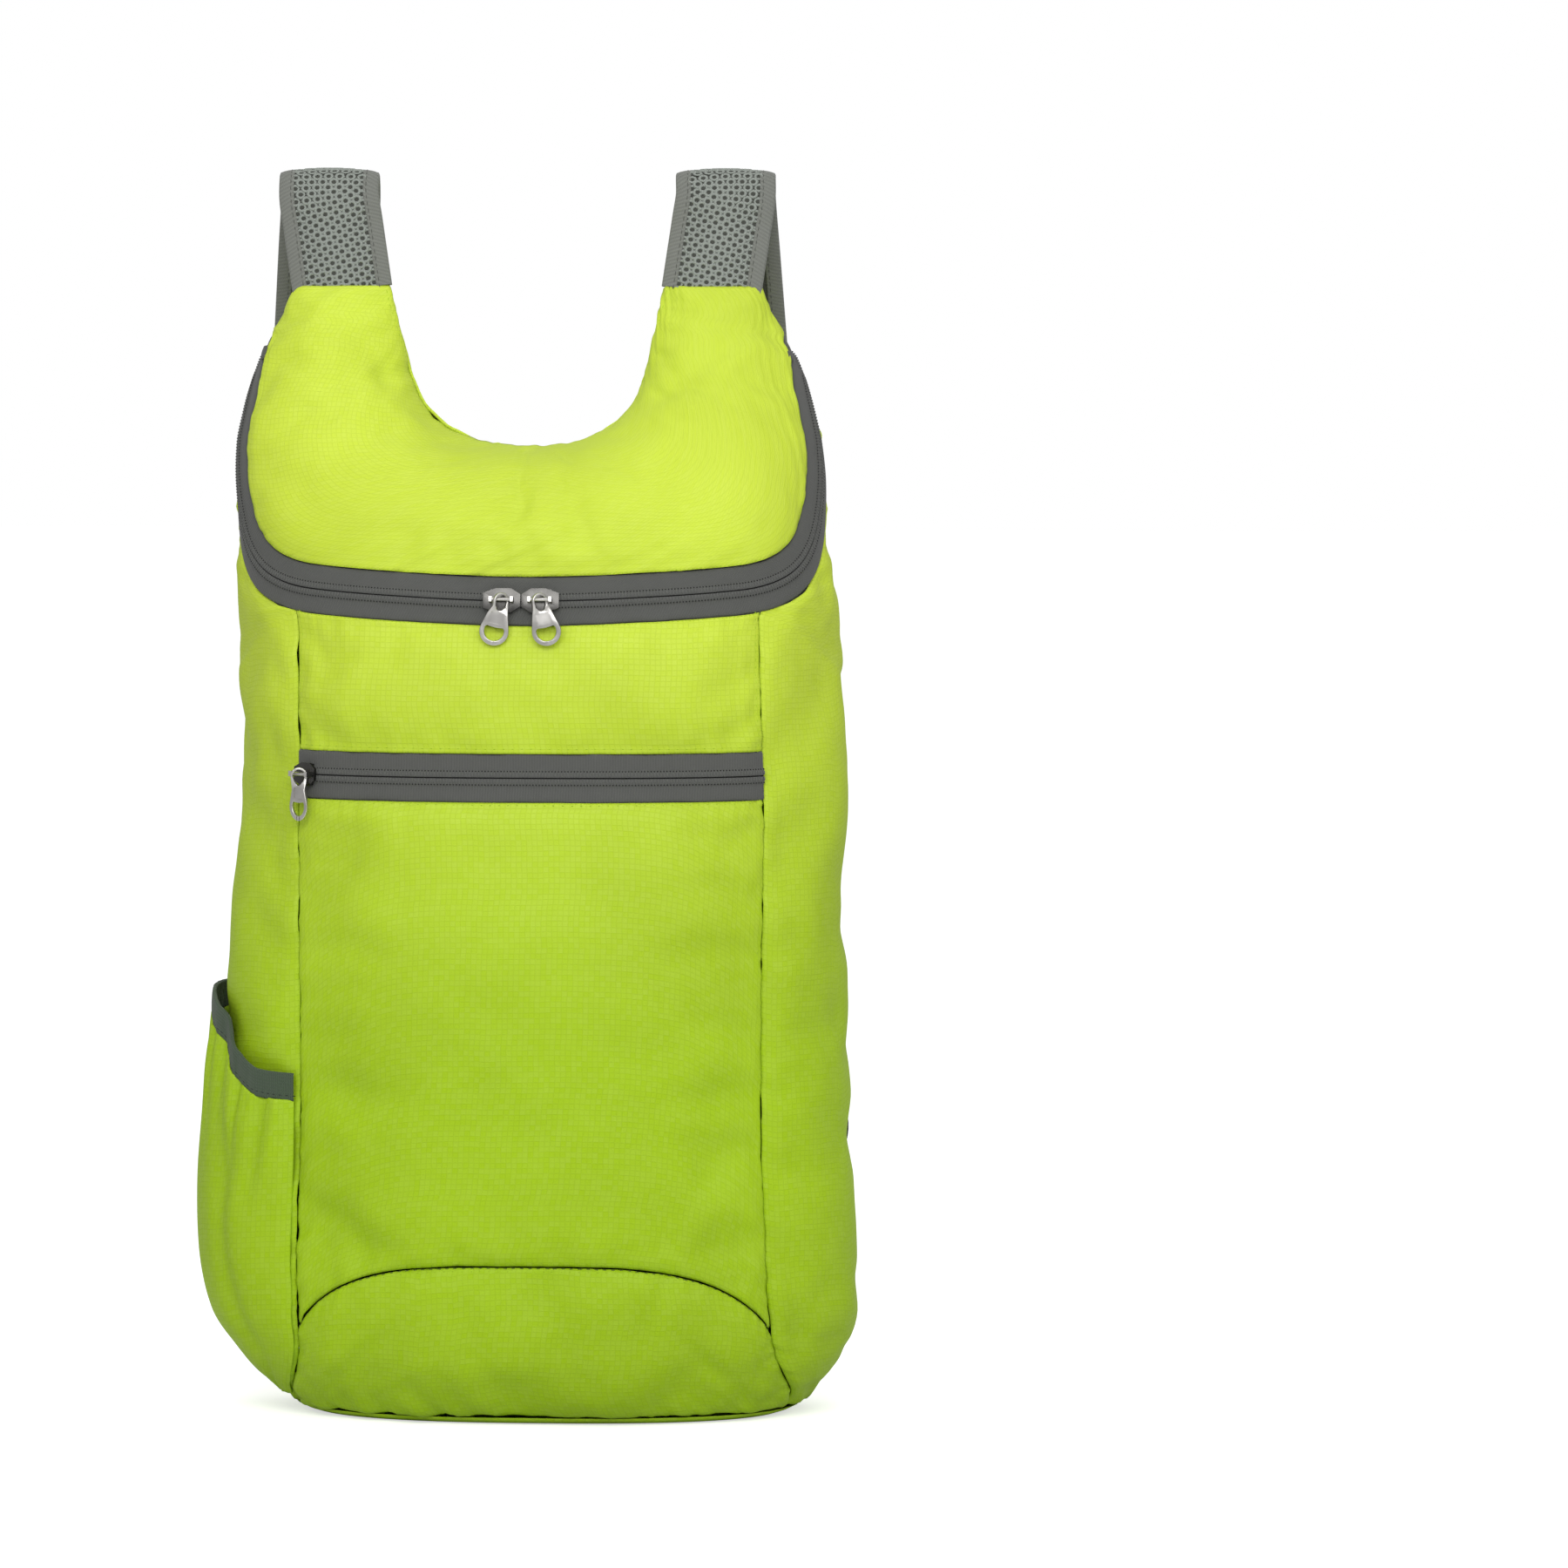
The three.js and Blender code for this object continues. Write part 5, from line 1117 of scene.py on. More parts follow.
def strap_frames(side):
    def point(x, y, z):
        return (side * x - HORN_SWAY - STRAP_LEAN * (y - STRAP_ROOT[1]), y, z)
    start = BODY_HEIGHT + GAP
    fold_height = STRAP_TOP_HEIGHT - STRAP_FOLD_RADIUS - STRAP_THICKNESS / 2
    front = STRAP_FOLD[1] - STRAP_FOLD_RADIUS
    rise = []
    for s in (0, 1 / 3, 2 / 3):
        eased = lerp(s, s * s * (3 - 2 * s), 0.4)
        rise.append(point(lerp(STRAP_ROOT[0], STRAP_FOLD[0], s), lerp(STRAP_ROOT[1], front, eased),
                          lerp(start, fold_height, s)))
    fold = [point(STRAP_FOLD[0], STRAP_FOLD[1] - STRAP_FOLD_RADIUS * math.cos(math.pi * s),
                  fold_height + STRAP_FOLD_RADIUS * math.sin(math.pi * s)) for s in (0, 1 / 3, 2 / 3, 1)]
    hang = [point(STRAP_FOLD[0] + STRAP_SPREAD * out, STRAP_FOLD[1] + STRAP_FOLD_RADIUS + STRAP_BOW * back,
                  fold_height - STRAP_DROP * drop) for drop, back, out in STRAP_HANG]
    dense = curve_through(rise + fold + hang, 40)
    first = dense[0] + (dense[0] - dense[1]) / np.linalg.norm(dense[0] - dense[1]) * ROOT_DEPTH
    dense = np.vstack([first, dense])
    return frames_along(dense, np.array([1.0, 0, 0]))


def pad_front(a):
    return -CROWN * (0.3 + 0.7 * (1 - np.abs(np.clip(a / PAD_HALF, -1, 1)) ** 2.2))


def pad_back(a):
    return CROWN * (0.3 + 0.55 * (1 - np.abs(np.clip(a / PAD_HALF, -1, 1)) ** 2.4))


def edging_profile(side):
    """Folded binding round one edge of the pad, rounded at the fold and pressed thin at its sewn lips."""
    edge, inner = STRAP_WIDTH / 2, STRAP_WIDTH / 2 - EDGING_WIDTH
    steps = np.array([0, 0.08, 0.22, 0.5, 0.78, 0.93])
    a = inner + steps * (edge - inner - 0.5)
    rise = np.array([0.35, 0.62, 0.72, 0.8, 0.74, 0.55])
    outer = [(x, pad_front(x) - r) for x, r in zip(a, rise)]
    turn = np.radians([-60, -20, 20, 60])
    outer += [(edge - 0.75 + 0.75 * math.cos(t), 1.1 * CROWN * 0.45 * math.sin(t)) for t in turn]
    outer += [(x, pad_back(x) + r) for x, r in zip(a[::-1], rise[::-1])]
    lining = [(x, pad_back(x) + 0.1) for x in (inner + 0.1, inner + 3, edge - 1.0)]
    lining += [(edge - 0.85, 0.0)]
    lining += [(x, pad_front(x) - 0.1) for x in (edge - 1.0, inner + 3, inner + 0.1)]
    return np.array([(side * x, o) for x, o in outer + lining])


def band_profile(width, thickness):
    """Section of a flat woven band with soft edges and a faint middle rib."""
    w, t = width / 2, thickness / 2
    top = [(-w, 0.35 * t), (-w + 0.35, 0.9 * t), (-0.75 * w, t), (-0.35 * w, 0.92 * t), (0, t),
           (0.35 * w, 0.92 * t), (0.75 * w, t), (w - 0.35, 0.9 * t), (w, 0.35 * t)]
    return np.array(top + [(x, -o) for x, o in reversed(top)])


def swept(name, frames, profile, used):
    return loft_object(name, placed(frames, profile[None, :, 0], profile[None, :, 1]), used)


def strap_end(side):
    frames = strap_frames(side)
    _, p, a, o = frames
    down = np.cross(a[-1], o[-1])
    if down[2] > 0:
        down = -down
    return p[-1], a[-1], o[-1], down


def wrap_round(at, middle, start, end, count):
    turns = np.radians(np.linspace(start, end, count + 1))
    return [at(BAR_WRAP_RADIUS * math.cos(t), middle + BAR_WRAP_RADIUS * math.sin(t)) for t in turns]


def banded(name, points, width_way, first_way, used):
    """A length of webbing along a route, turned from its first width way to the one of the buckle."""
    dense = curve_through(points, 12)
    share = np.linspace(0, 1, len(dense))[:, None]
    start = first_way * (1 if first_way @ width_way >= 0 else -1)
    ways = unit(lerp(start[None], width_way[None], np.clip(share / 0.3, 0, 1)))
    frames = frames_along(dense, ways)
    return frames, swept(name, frames, band_profile(WEBBING_WIDTH, WEBBING_THICKNESS), used)


# Side pocket

def mouth_height(across):
    return POCKET_MOUTH_HEIGHT + POCKET_MOUTH_RISE * smooth(POCKET_MOUTH, 0, 1, across)


def over_gusset(across, height, stand):
    def point(a, h):
        return body_point(-lerp(front_seam(h) + 1, back_seam(h) - 2, a), h)
    out = unit(np.cross(point(across + 1e-3, height) - point(across - 1e-3, height),
                        point(across, height - 0.1) - point(across, height + 0.1)))
    return point(across, height) + out * np.asarray(stand)[..., None]


def pocket_stand(across, rise):
    rise = np.clip(rise, 0, 1)
    over = np.maximum(np.sin(np.pi * across), 0) ** 0.75
    tall = np.sin(np.pi * (0.03 + 0.83 * rise)) ** 0.8
    pleat = bell((across - lerp(0.1, 0.36, np.sqrt(rise))) / 0.05)
    return GAP + POCKET_FULLNESS * over * tall - PLEAT_DEPTH * pleat * over * np.clip(4 * rise, 0, 1)


# Cloth settling

def settled(points, ways):
    """How far the cloth moves along its normals in a light cloth simulation, held along its borders."""
    nu, nv = points.shape[:2]
    iu = np.unique(np.linspace(0, nu - 1, max(nu // 3, 8)).astype(int))
    iv = np.unique(np.linspace(0, nv - 1, max(nv // 3, 8)).astype(int))
    coarse = points[np.ix_(iu, iv)]
    cu, cv = coarse.shape[:2]
    quads = grid_quads(cu, cv)
    if faces_inwards(coarse, ways[np.ix_(iu, iv)]):
        quads = quads[:, ::-1]
    obj = make_object("settling", coarse.reshape(-1, 3), quads)
    held = obj.vertex_groups.new(name="held")
    rim = np.zeros((cu, cv), bool)
    rim[[0, -1]] = True
    rim[:, [0, -1]] = True
    held.add(np.flatnonzero(rim.ravel()).tolist(), 1.0, "REPLACE")
    cloth = obj.modifiers.new("Cloth", "CLOTH")
    cloth.settings.quality = 5
    cloth.settings.mass = 0.15
    cloth.settings.bending_stiffness = 0.05
    cloth.settings.vertex_group_mass = "held"
    cloth.settings.use_pressure = True
    cloth.settings.uniform_pressure_force = SETTLE_PRESSURE
    cloth.settings.shrink_min = -0.035
    cloth.settings.effector_weights.gravity = 0.0
    scene = bpy.context.scene
    for number in range(1, SETTLE_FRAMES + 1):
        scene.frame_set(number)
    graph = bpy.context.evaluated_depsgraph_get()
    moved = np.zeros(cu * cv * 3, np.float32)
    obj.evaluated_get(graph).data.vertices.foreach_get("co", moved)
    scene.frame_set(1)
    shift = moved.reshape(cu, cv, 3) / MM - coarse
    rise = np.clip((shift * ways[np.ix_(iu, iv)]).sum(-1), -SETTLE_CAP, SETTLE_CAP)
    mesh = obj.data
    bpy.data.objects.remove(obj)
    bpy.data.meshes.remove(mesh)
    part = np.stack([np.interp(np.arange(nu), iu, rise[:, k]) for k in range(rise.shape[1])], axis=1)
    fine = np.stack([np.interp(np.arange(nv), iv, part[k]) for k in range(nu)], axis=0)
    for _ in range(8):
        wide = np.pad(fine, 1, mode="edge")
        fine = (wide[2:, 1:-1] + wide[:-2, 1:-1] + wide[1:-1, 2:] + wide[1:-1, :-2] + 2 * fine) / 6
    return fine


# Metal and plastic

def curve_solid(name, outline, holes, thickness, soft, used):
    """A flat plate with rounded edges from closed outlines given as (x, z), facing -Y, in millimetres."""
    curve = bpy.data.curves.new(name, "CURVE")
    curve.dimensions = "2D"
    curve.fill_mode = "BOTH"
    curve.extrude = thickness / 2 - soft
    curve.bevel_depth = soft
    curve.bevel_resolution = 2
    curve.offset = -soft
    for loop in [outline] + holes:
        spline = curve.splines.new("POLY")
        spline.points.add(len(loop) - 1)
        for point, (x, z) in zip(spline.points, loop):
            point.co = (x, z, 0, 1)
        spline.use_cyclic_u = True
    obj = linked(name, curve)
    mesh = evaluated_mesh(obj)
    bpy.data.objects.remove(obj)
    mesh.transform(Matrix.Rotation(math.pi / 2, 4, "X"))
    work = bmesh.new()
    work.from_mesh(mesh)
    bmesh.ops.remove_doubles(work, verts=work.verts, dist=2e-3)
    bmesh.ops.recalc_face_normals(work, faces=work.faces)
    work.to_mesh(mesh)
    work.free()
    mesh.materials.clear()
    mesh.materials.append(used)
    return mesh


def round_arc(x, z, radius, start, end, count, squash=1.0):
    turns = np.radians(np.linspace(start, end, count + 1))
    return [(x + squash * radius * math.cos(t), z + radius * math.sin(t)) for t in turns]


def pull_mesh(name, half_width, used):
    """A cast pull in its own axes: the eye round the origin, the tab hanging down with its open end."""
    w = half_width / 6.0
    outline = round_arc(0, -0.8, 3.5, 0, 180, 14)
    outline += [(-3.55 * w ** 0.5, -3.2), (-4.3 * w, -6.4), (-5.7 * w, -11.6)]
    outline += round_arc(0, -13.3, 6.0, 180, 360, 22, w)
    outline += [(5.7 * w, -11.6), (4.3 * w, -6.4), (3.55 * w ** 0.5, -3.2)]
    eye = round_arc(0, -0.8, 2.55, 0, 180, 12) + [(-2.3 * w, -3.0)]
    eye += round_arc(0, -3.1, 1.7, 200, 340, 8, w)
    eye += [(2.3 * w, -3.0)]
    end = [(-4.0 * w, -12.2), (-3.3 * w, -11.5)] + [(-1.6 * w, -11.75), (0, -11.85), (1.6 * w, -11.75)]
    end += [(3.3 * w, -11.5), (4.0 * w, -12.2)] + round_arc(0, -13.3, 4.05, 0, -180, 18, w)
    mesh = curve_solid(name, outline, [eye, end], 1.4, 0.28, used)
    obj = linked(name, mesh)
    boxes = [((0, s * 0.85, -8.0), (5.4 * w, 0.9, 4.6)) for s in (-1, 1)]
    boxes += [((x, -0.55, -18.4), (0.35, 0.6, 2.6)) for x in (-0.75, 0.75)]
    cutter = boxes_object(name + "_cutter", boxes)
    cut = obj.modifiers.new("Recess", "BOOLEAN")
    cut.operation = "DIFFERENCE"
    cut.object = cutter
    cut.solver = "EXACT"
    made = evaluated_mesh(obj)
    bpy.data.objects.remove(obj)
    bpy.data.objects.remove(cutter)
    made.materials.clear()
    made.materials.append(used)
    return made


def boxes_object(name, boxes):
    work = bmesh.new()
    for centre, size in boxes:
        scale = Matrix.Diagonal((*size, 1))
        bmesh.ops.create_cube(work, size=1.0, matrix=Matrix.Translation(centre) @ scale)
    mesh = bpy.data.meshes.new(name)
    work.to_mesh(mesh)
    work.free()
    obj = linked(name, mesh)
    return obj


def hang_pull(node, tilt, half_width, used):
    """Makes a pull by the place and axis of its hinge, with the eye turned on the rod."""
    along_way, out, place = hinge_ways(node)
    inwards = -out
    mesh = pull_mesh(node + "_metal", half_width, used)
    lean = Matrix.Translation((0, 0, -0.8)) @ Matrix.Rotation(math.radians(tilt), 4, "Y")
    mesh.transform(lean @ Matrix.Translation((0, 0, 0.8)))
    for vertex in mesh.vertices:
        x, y, z = vertex.co
        share = min(max((z + 5.6) / 3.0, 0), 1)
        turn = math.radians(EYE_YAW) * share * share * (3 - 2 * share)
        vertex.co = (x * math.cos(turn) - y * math.sin(turn), x * math.sin(turn) + y * math.cos(turn), z)
    basis = Matrix((along_way, inwards, Vector((0, 0, 1)))).transposed().to_4x4()
    mesh.transform(Matrix.Translation(place) @ basis @ Matrix.Scale(MM, 4))
    mesh.polygons.foreach_set("use_smooth", [True] * len(mesh.polygons))
    mesh.set_sharp_from_angle(angle=math.radians(35))
    obj = linked(node + "_metal", mesh)
    return finish_piece(obj, node, node, slot="zip_metal")


def hinge_ways(node):
    """Along and out ways of the slider that a pull hangs on, and the place of its hinge."""
    joint = next(j for j in frame["record"]["behaviour"]["joints"] if j["child"] == node)
    along_way = -Vector(joint["axis"]).normalized()
    return along_way, along_way.cross(Vector((0, 0, 1))), Vector(joint["pos_m"])


def brighten_bridge(obj, node):
    """Gives the slider's bridge the brighter metal of its pull."""
    obj.data.materials.append(material("pull"))
    _, out, place = hinge_ways(node)
    for polygon in obj.data.polygons:
        if (polygon.center - place) @ out > -0.9 * MM:
            polygon.material_index = 1


def softened_copy(node, name, used, soft, body, slot, shift=0.0):
    """The solid of a node with its hard edges rounded, moved level by a shift in millimetres."""
    mesh = bpy.data.objects[node].data.copy()
    mesh.transform(Matrix.Translation((shift * MM, 0, 0)))
    mesh.name = name
    work = bmesh.new()
    work.from_mesh(mesh)
    bmesh.ops.remove_doubles(work, verts=work.verts, dist=1e-6)
    bmesh.ops.dissolve_limit(work, angle_limit=math.radians(2), verts=work.verts, edges=work.edges)
    work.to_mesh(mesh)
    work.free()
    mesh.materials.clear()
    mesh.materials.append(used)
    obj = linked(name, mesh)
    bevel = obj.modifiers.new("Soft edges", "BEVEL")
    bevel.width = soft * MM
    bevel.segments = 3
    bevel.limit_method = "ANGLE"
    bevel.angle_limit = math.radians(28)
    made = evaluated_mesh(obj)
    obj.modifiers.remove(bevel)
    obj.data = made
    made.name = name
    made.polygons.foreach_set("use_smooth", [True] * len(made.polygons))
    made.set_sharp_from_angle(angle=math.radians(40))
    return finish_piece(obj, body, node, slot=slot)


# Settings

def colour_setting(name, about, default):
    return bpy.props.FloatVectorProperty(name=name, description=about, subtype="COLOR", size=3, min=0, max=1,
                                         default=default)


def setting(name, about, default, low, high, **kind):
    return bpy.props.FloatProperty(name=name, description=about, default=default, min=low, max=high, **kind)


def angle_setting(name, about, degrees):
    return bpy.props.FloatProperty(name=name, description=about, default=math.radians(degrees),
                                   subtype="ANGLE")


class BackpackCloth(bpy.types.PropertyGroup):
    lime: colour_setting("Lime", "Colour of the body cloth", (0.365, 0.57, 0.006))
    # The next colour is painted top light: a lighter lime mixed in higher up on the bag.
    painted_top_lime: colour_setting("Painted top-light lime", "Colour of the cloth near the top", (0.6, 0.75, 0.055))
    grid_pitch: setting("Grid", "Side of a square of the ripstop grid", 0.0022, 0.0005, 0.01, unit="LENGTH")
    pucker: setting("Puckers", "Height of the puckers along seams", 1.35, 0, 3, subtype="FACTOR")
    billow: setting("Billow", "Height in millimetres of the broad soft swells", 1.5, 0, 4)


class BackpackZips(bpy.types.PropertyGroup):
    tape: colour_setting("Tape", "Colour of the zip tapes", (0.088, 0.09, 0.084))
    metal: colour_setting("Metal", "Colour of the pulls", (0.6, 0.585, 0.56))
    coil_pitch: setting("Coil pitch", "Distance from one coil turn to the next", 0.0013, 0.0008, 0.004,
                        unit="LENGTH")


class BackpackStraps(bpy.types.PropertyGroup):
    mesh: colour_setting("Mesh", "Colour of the air mesh", (0.27, 0.295, 0.265))
    binding: colour_setting("Binding", "Colour of the strap bindings", (0.175, 0.182, 0.163))
    cell_across: setting("Cell width", "Width of a mesh cell across the strap", 0.0046, 0.002, 0.01,
                         unit="LENGTH")
    cell_along: setting("Cell length", "Length of a mesh cell along the strap", 0.0042, 0.002, 0.01,
                        unit="LENGTH")


class BackpackStage(bpy.types.PropertyGroup):
    azimuth: angle_setting("Azimuth", "Camera to the right of the front", 3.5)
    elevation: angle_setting("Elevation", "Camera above level", 5.0)
    key_power: setting("Key light", "Power of the large front light", 8.4, 0, 200, unit="POWER")


# Operators

GRIDS = {}


class BACKPACK_OT_finishes(bpy.types.Operator):
    """Builds the shader groups, the repeating trees and every material"""
    bl_idname = "backpack.finishes"
    bl_label = "Finishes"

    def execute(self, context):
        cloth, zips, straps = (context.scene.backpack_cloth, context.scene.backpack_zips,
                               context.scene.backpack_straps)
        LOOK.pucker, LOOK.billow = cloth.pucker, cloth.billow
        Groups.ripstop, Groups.woven, Groups.handling_and_top_light = ripstop_group(), woven_group(), handling_and_top_light_group()
        Trees.stitch = path_tree("Rows of beads", BEAD_INPUTS, bead)
        Trees.air = path_tree("Air mesh cells", BEAD_INPUTS, mesh_cell, every_point=True)
        lime = tuple(cloth.lime) + (1,)
        tape = tuple(zips.tape) + (1,)
        # The lime darkened for the needle marks: painted shade in the small stitch dents beside seams and
        # zips.
        shade = tuple(c * 0.72 for c in lime[:3]) + (1,)
        pull = tuple(zips.metal) + (1,)
        LOOK.materials = {
            "lime": ripstop_material("Lime ripstop", lime, tuple(cloth.painted_top_lime) + (1,), cloth.grid_pitch),
            "lime_thread": woven_material("Lime thread", lime, 0.0004, 0.0004, contrast=0.1),
            "needle_shade": woven_material("Needle mark shade", shade, 0.0004, 0.0004, contrast=0.1),
            "dark_thread": woven_material("Dark thread", linear(92, 112, 30), 0.0004, 0.0004, contrast=0.1),
            "tape": woven_material("Zip tape", tape, 0.0011, 0.0005, depth=0.00015, contrast=0.14),
            "coil": woven_material("Coil turns", tuple(c * 1.1 for c in tape[:3]) + (1,), 0.0008, 0.0005,
                                   contrast=0.1, roughness=0.6),
            # Near black: painted shade in the zip's middle gap (the coil core), and also the colour of the
            # dark stitches on zips and binding.
            "gap_shade_and_dark_stitches": woven_material("Near-black gap shade and stitches", linear(24, 24, 23), 0.0006, 0.0006, contrast=0.2),
            "pull": moulded_material("Satin pull metal", pull, 0.3, metallic=1.0),
            "slider": moulded_material("Gunmetal slider", linear(84, 83, 81), 0.25, metallic=1.0),
            "mesh": woven_material("Air mesh", tuple(straps.mesh) + (1,), 0.0004, 0.0004, contrast=0.12),
            # The strap lining's grey is its colour as seen in shadow, so it holds painted shade.
            "lining": woven_material("Strap lining", linear(67, 69, 63), 0.0007, 0.0007, contrast=0.25),
            "edging": woven_material("Strap binding", tuple(straps.binding) + (1,), 0.0016, 0.0006,
                                     slant=0.4, contrast=0.2),
            "edging_thread": woven_material("Binding thread", linear(84, 86, 80), 0.0004, 0.0004,
                                            contrast=0.1),
            "elastic": woven_material("Ribbed elastic", linear(68, 82, 65), 0.0007, 0.0013, contrast=0.4,
                                      depth=0.0003),
            "webbing": woven_material("Flat webbing", linear(44, 45, 43), 0.0012, 0.0014, slant=0.6,
                                      contrast=0.35, depth=0.0003),
            "plastic": moulded_material("Buckle plastic", linear(34, 35, 34), 0.38, grain=0.00005),
        }
        return {"FINISHED"}


class BACKPACK_OT_lid(bpy.types.Operator):
    """Makes the arched lid, from the main zip up over the horns and in to the neck"""
    bl_idname = "backpack.lid"
    bl_label = "Lid"

    def execute(self, context):
        folds = [((92, 452), (44, 417), -1.7, 5.0), ((84, 438), (60, 408), 0.8, 5.0),
                 ((-76, 444), (-33, 402), -1.5, 4.5), ((-42, 434), (-72, 427), -1.2, 3.6),
                 ((-96, 420), (-60, 400), 0.8, 6.0), ((12, 372), (60, 384), 0.6, 7.0)]
        GRIDS["lid"] = panel("lid_cloth", lid_grid(330, 62), ("plain", "plain", "tape", "neck"), 11, "lid",
                             folds=folds)
        return {"FINISHED"}


class BACKPACK_OT_front(bpy.types.Operator):
    """Makes the three panels of the front: between the zips, under the pocket zip, and under the sewn arc"""
    bl_idname = "backpack.front"
    bl_label = "Front panels"

    def execute(self, context):
        edge = TAPE_HALF_WIDTH + 0.2
        upper = front_grid(lambda a: POCKET_ZIP_HEIGHT + edge + 0 * a, lower_border_height, 128, 34)
        lower = front_grid(lambda a: arc_height(a) + 0.35, lambda a: POCKET_ZIP_HEIGHT - edge + 0 * a,
                           128, 110)
        foot = front_grid(lambda a: BASE_SEAM_HEIGHT + 0 * a, lambda a: arc_height(a) - 0.35, 128, 40)
        low_folds = [((-96, 64), (-70, 100), -1.0, 5.0), ((92, 70), (66, 120), -0.9, 6.0)]
        foot_folds = [((-84, 14), (-58, 40), -1.1, 4.0), ((-70, 10), (-40, 30), 0.7, 4.0),
                      ((84, 16), (60, 40), -0.9, 4.0), ((30, 8), (10, 40), -0.5, 5.0)]
        GRIDS["upper"] = panel("upper_front_cloth", upper, ("seam", "seam", "tape", "tape"), 23,
                               "upper_front_panel")
        GRIDS["lower"] = panel("lower_front_cloth", lower, ("seam", "seam", "seam", "tape"), 37,
                               "lower_front_panel", folds=low_folds)
        GRIDS["foot"] = panel("front_base_cloth", foot, ("seam", "seam", "seam", "seam"), 41,
                              "front_base_panel", folds=foot_folds)
        return {"FINISHED"}


class BACKPACK_OT_gussets(bpy.types.Operator):
    """Makes the two side gussets"""
    bl_idname = "backpack.gussets"
    bl_label = "Gussets"

    def execute(self, context):
        for side, name, seed in ((-1, "left", 53), (1, "right", 67)):
            grid = gusset_grid(side, 210, 60)
            panel("gusset_cloth_" + name, grid, ("seam", "plain", "seam", "seam"), seed, "gusset_" + name)
        return {"FINISHED"}


class BACKPACK_OT_back(bpy.types.Operator):
    """Makes the back panel and the flat base"""
    bl_idname = "backpack.back"
    bl_label = "Back and base"

    def execute(self, context):
        GRIDS["back"] = panel("back_cloth", back_grid(130, 150), ("seam", "seam", "seam", "neck"), 71,
                              "back_panel")
        angles = np.linspace(-180, 180, 144, endpoint=False)
        rim = BASE_SEAM_HEIGHT - 0.2
        outer = body_point(angles, 0.0)
        middle = np.array([0, outer[:, 1].min() / 2 + outer[:, 1].max() / 2, 0])
        inward = unit((middle - outer) * [1, 1, 0])
        lift = np.array([0, 0, 1.2])
        low, turned, top = outer, body_point(angles, 0.4 * rim), body_point(angles, rim)
        rings = [lerp(low, middle, s) for s in (0.96, 0.6, 0.25, 0.06, 0.0)] + [turned, top]
        rings += [top + inward * 1.2, turned + inward * 1.2 + lift * [0, 0, 0.3]]
        rings += [lerp(low, middle, s) + lift for s in (0.06, 0.25, 0.6, 0.96)]
        obj = loft_object("base_cloth", rings, material("lime"))
        finish_piece(obj, "bag", "base_panel", slot="lime_cloth")
        return {"FINISHED"}


def tape_lift(offset):
    """Height of a zip tape off the bag: raised over the coil, flat, then sunk under the cloth's edge."""
    o = np.abs(offset)
    coil = 0.85 / (1 + np.exp((o - 2.9) / 0.22))
    under = 1.6 / (1 + np.exp(-(o - (TAPE_HALF_WIDTH + 0.15)) / 0.18))
    return coil - under - 0.1


def zip_tapes(name, point_at, shares, offsets):
    """Both tapes of a zip and its dark middle line, a near-black strip that is painted shade in the gap
    between the tapes. Gives that line with its ways across and out.
    """
    share, offset = np.meshgrid(shares, offsets, indexing="ij")
    for sign, part in ((1, "upper"), (-1, "lower")):
        grid = point_at(share, sign * offset)
        ways = grid_normals(grid, away(grid))
        outer = grid + ways * tape_lift(offset)[..., None]
        normals = grid_normals(outer, ways)
        obj = sheet_object(name + "_tape_cloth_" + part, outer, normals, 0.7, material("tape"))
        finish_piece(obj, "bag", name + "_tape_" + part, slot="zip_tape")
        flat_sheet(grid)
    line = point_at(shares, 0 * shares)
    above = point_at(shares, 0 * shares + 1.0)
    ahead = np.gradient(line, axis=0)
    ways = unit(np.cross(ahead, above - line))
    across = unit(above - line)
    # A near-black strip along the middle line: painted shade in the gap between the tapes.
    gap_shade_rings = [line[:, None] + across[:, None] * a + ways[:, None] * o
            for a, o in ((-1.2, -0.6), (-1.2, 0.25), (1.2, 0.25), (1.2, -0.6))]
    obj = loft_object(name + "_coil_gap_shade", np.concatenate(gap_shade_rings, axis=1), material("gap_shade_and_dark_stitches"))
    finish_piece(obj, "bag", name + "_coil", slot="zip_coil")
    return line, across, ways


class BACKPACK_OT_zips(bpy.types.Operator):
    """Makes both zips: tapes, the dark middle line of painted shade and the coil turns under the weave"""
    bl_idname = "backpack.zips"
    bl_label = "Zips"

    def execute(self, context):
        pitch = context.scene.backpack_zips.coil_pitch
        offsets = np.array([0.28, 0.5, 1.0, 1.9, 2.5, 2.9, 3.3, 4.0,
                            5.5, 7.5, 9.0, 9.6, 9.85, 10.1, 10.6, 11.6])
        for name, point_at, shares in (
                ("main_zip", zip_point, np.linspace(0.004, 0.996, 320)),
                ("pocket_zip", lambda u, o: body_point(*pocket_zip_place(u, o)), np.linspace(0.0, 1.0, 130))):
            line, across, ways = zip_tapes(name, point_at, shares, offsets)
            rows = [(line + across * (sign * 1.25) + ways * 0.72, ways) for sign in (-1, 1)]
            turns = run_tree(name + "_coil_turns", Trees.stitch, rows,
                             {"Pitch": pitch, "Length": 0.62 * pitch, "Width": 0.0021, "Height": 0.0007},
                             material("coil"))
            finish_piece(turns, "bag", slot="zip_coil")
            rows = [(line + across * (sign * 2.75) + ways * 0.5, ways) for sign in (-1, 1)]
            stitches(name + "_coil_stitches", rows, "gap_shade_and_dark_stitches", pitch=1.3, length=0.7, width=0.75, height=0.45)
        return {"FINISHED"}


class BACKPACK_OT_sliders(bpy.types.Operator):
    """Makes the three sliders and their pulls, each pull on its own hinge"""
    bl_idname = "backpack.sliders"
    bl_label = "Sliders and pulls"

    def execute(self, context):
        for name, tilt, half in (("main_left", 13, 6.0), ("main_right", -13, 6.0), ("pocket_zip", 0, 4.75)):
            slider = softened_copy(name + "_slider", name + "_slider_metal", material("slider"), 0.32, "bag",
                                   "zip_metal")
            brighten_bridge(slider, name + "_pull")
            hang_pull(name + "_pull", tilt, half, material("pull"))
        return {"FINISHED"}


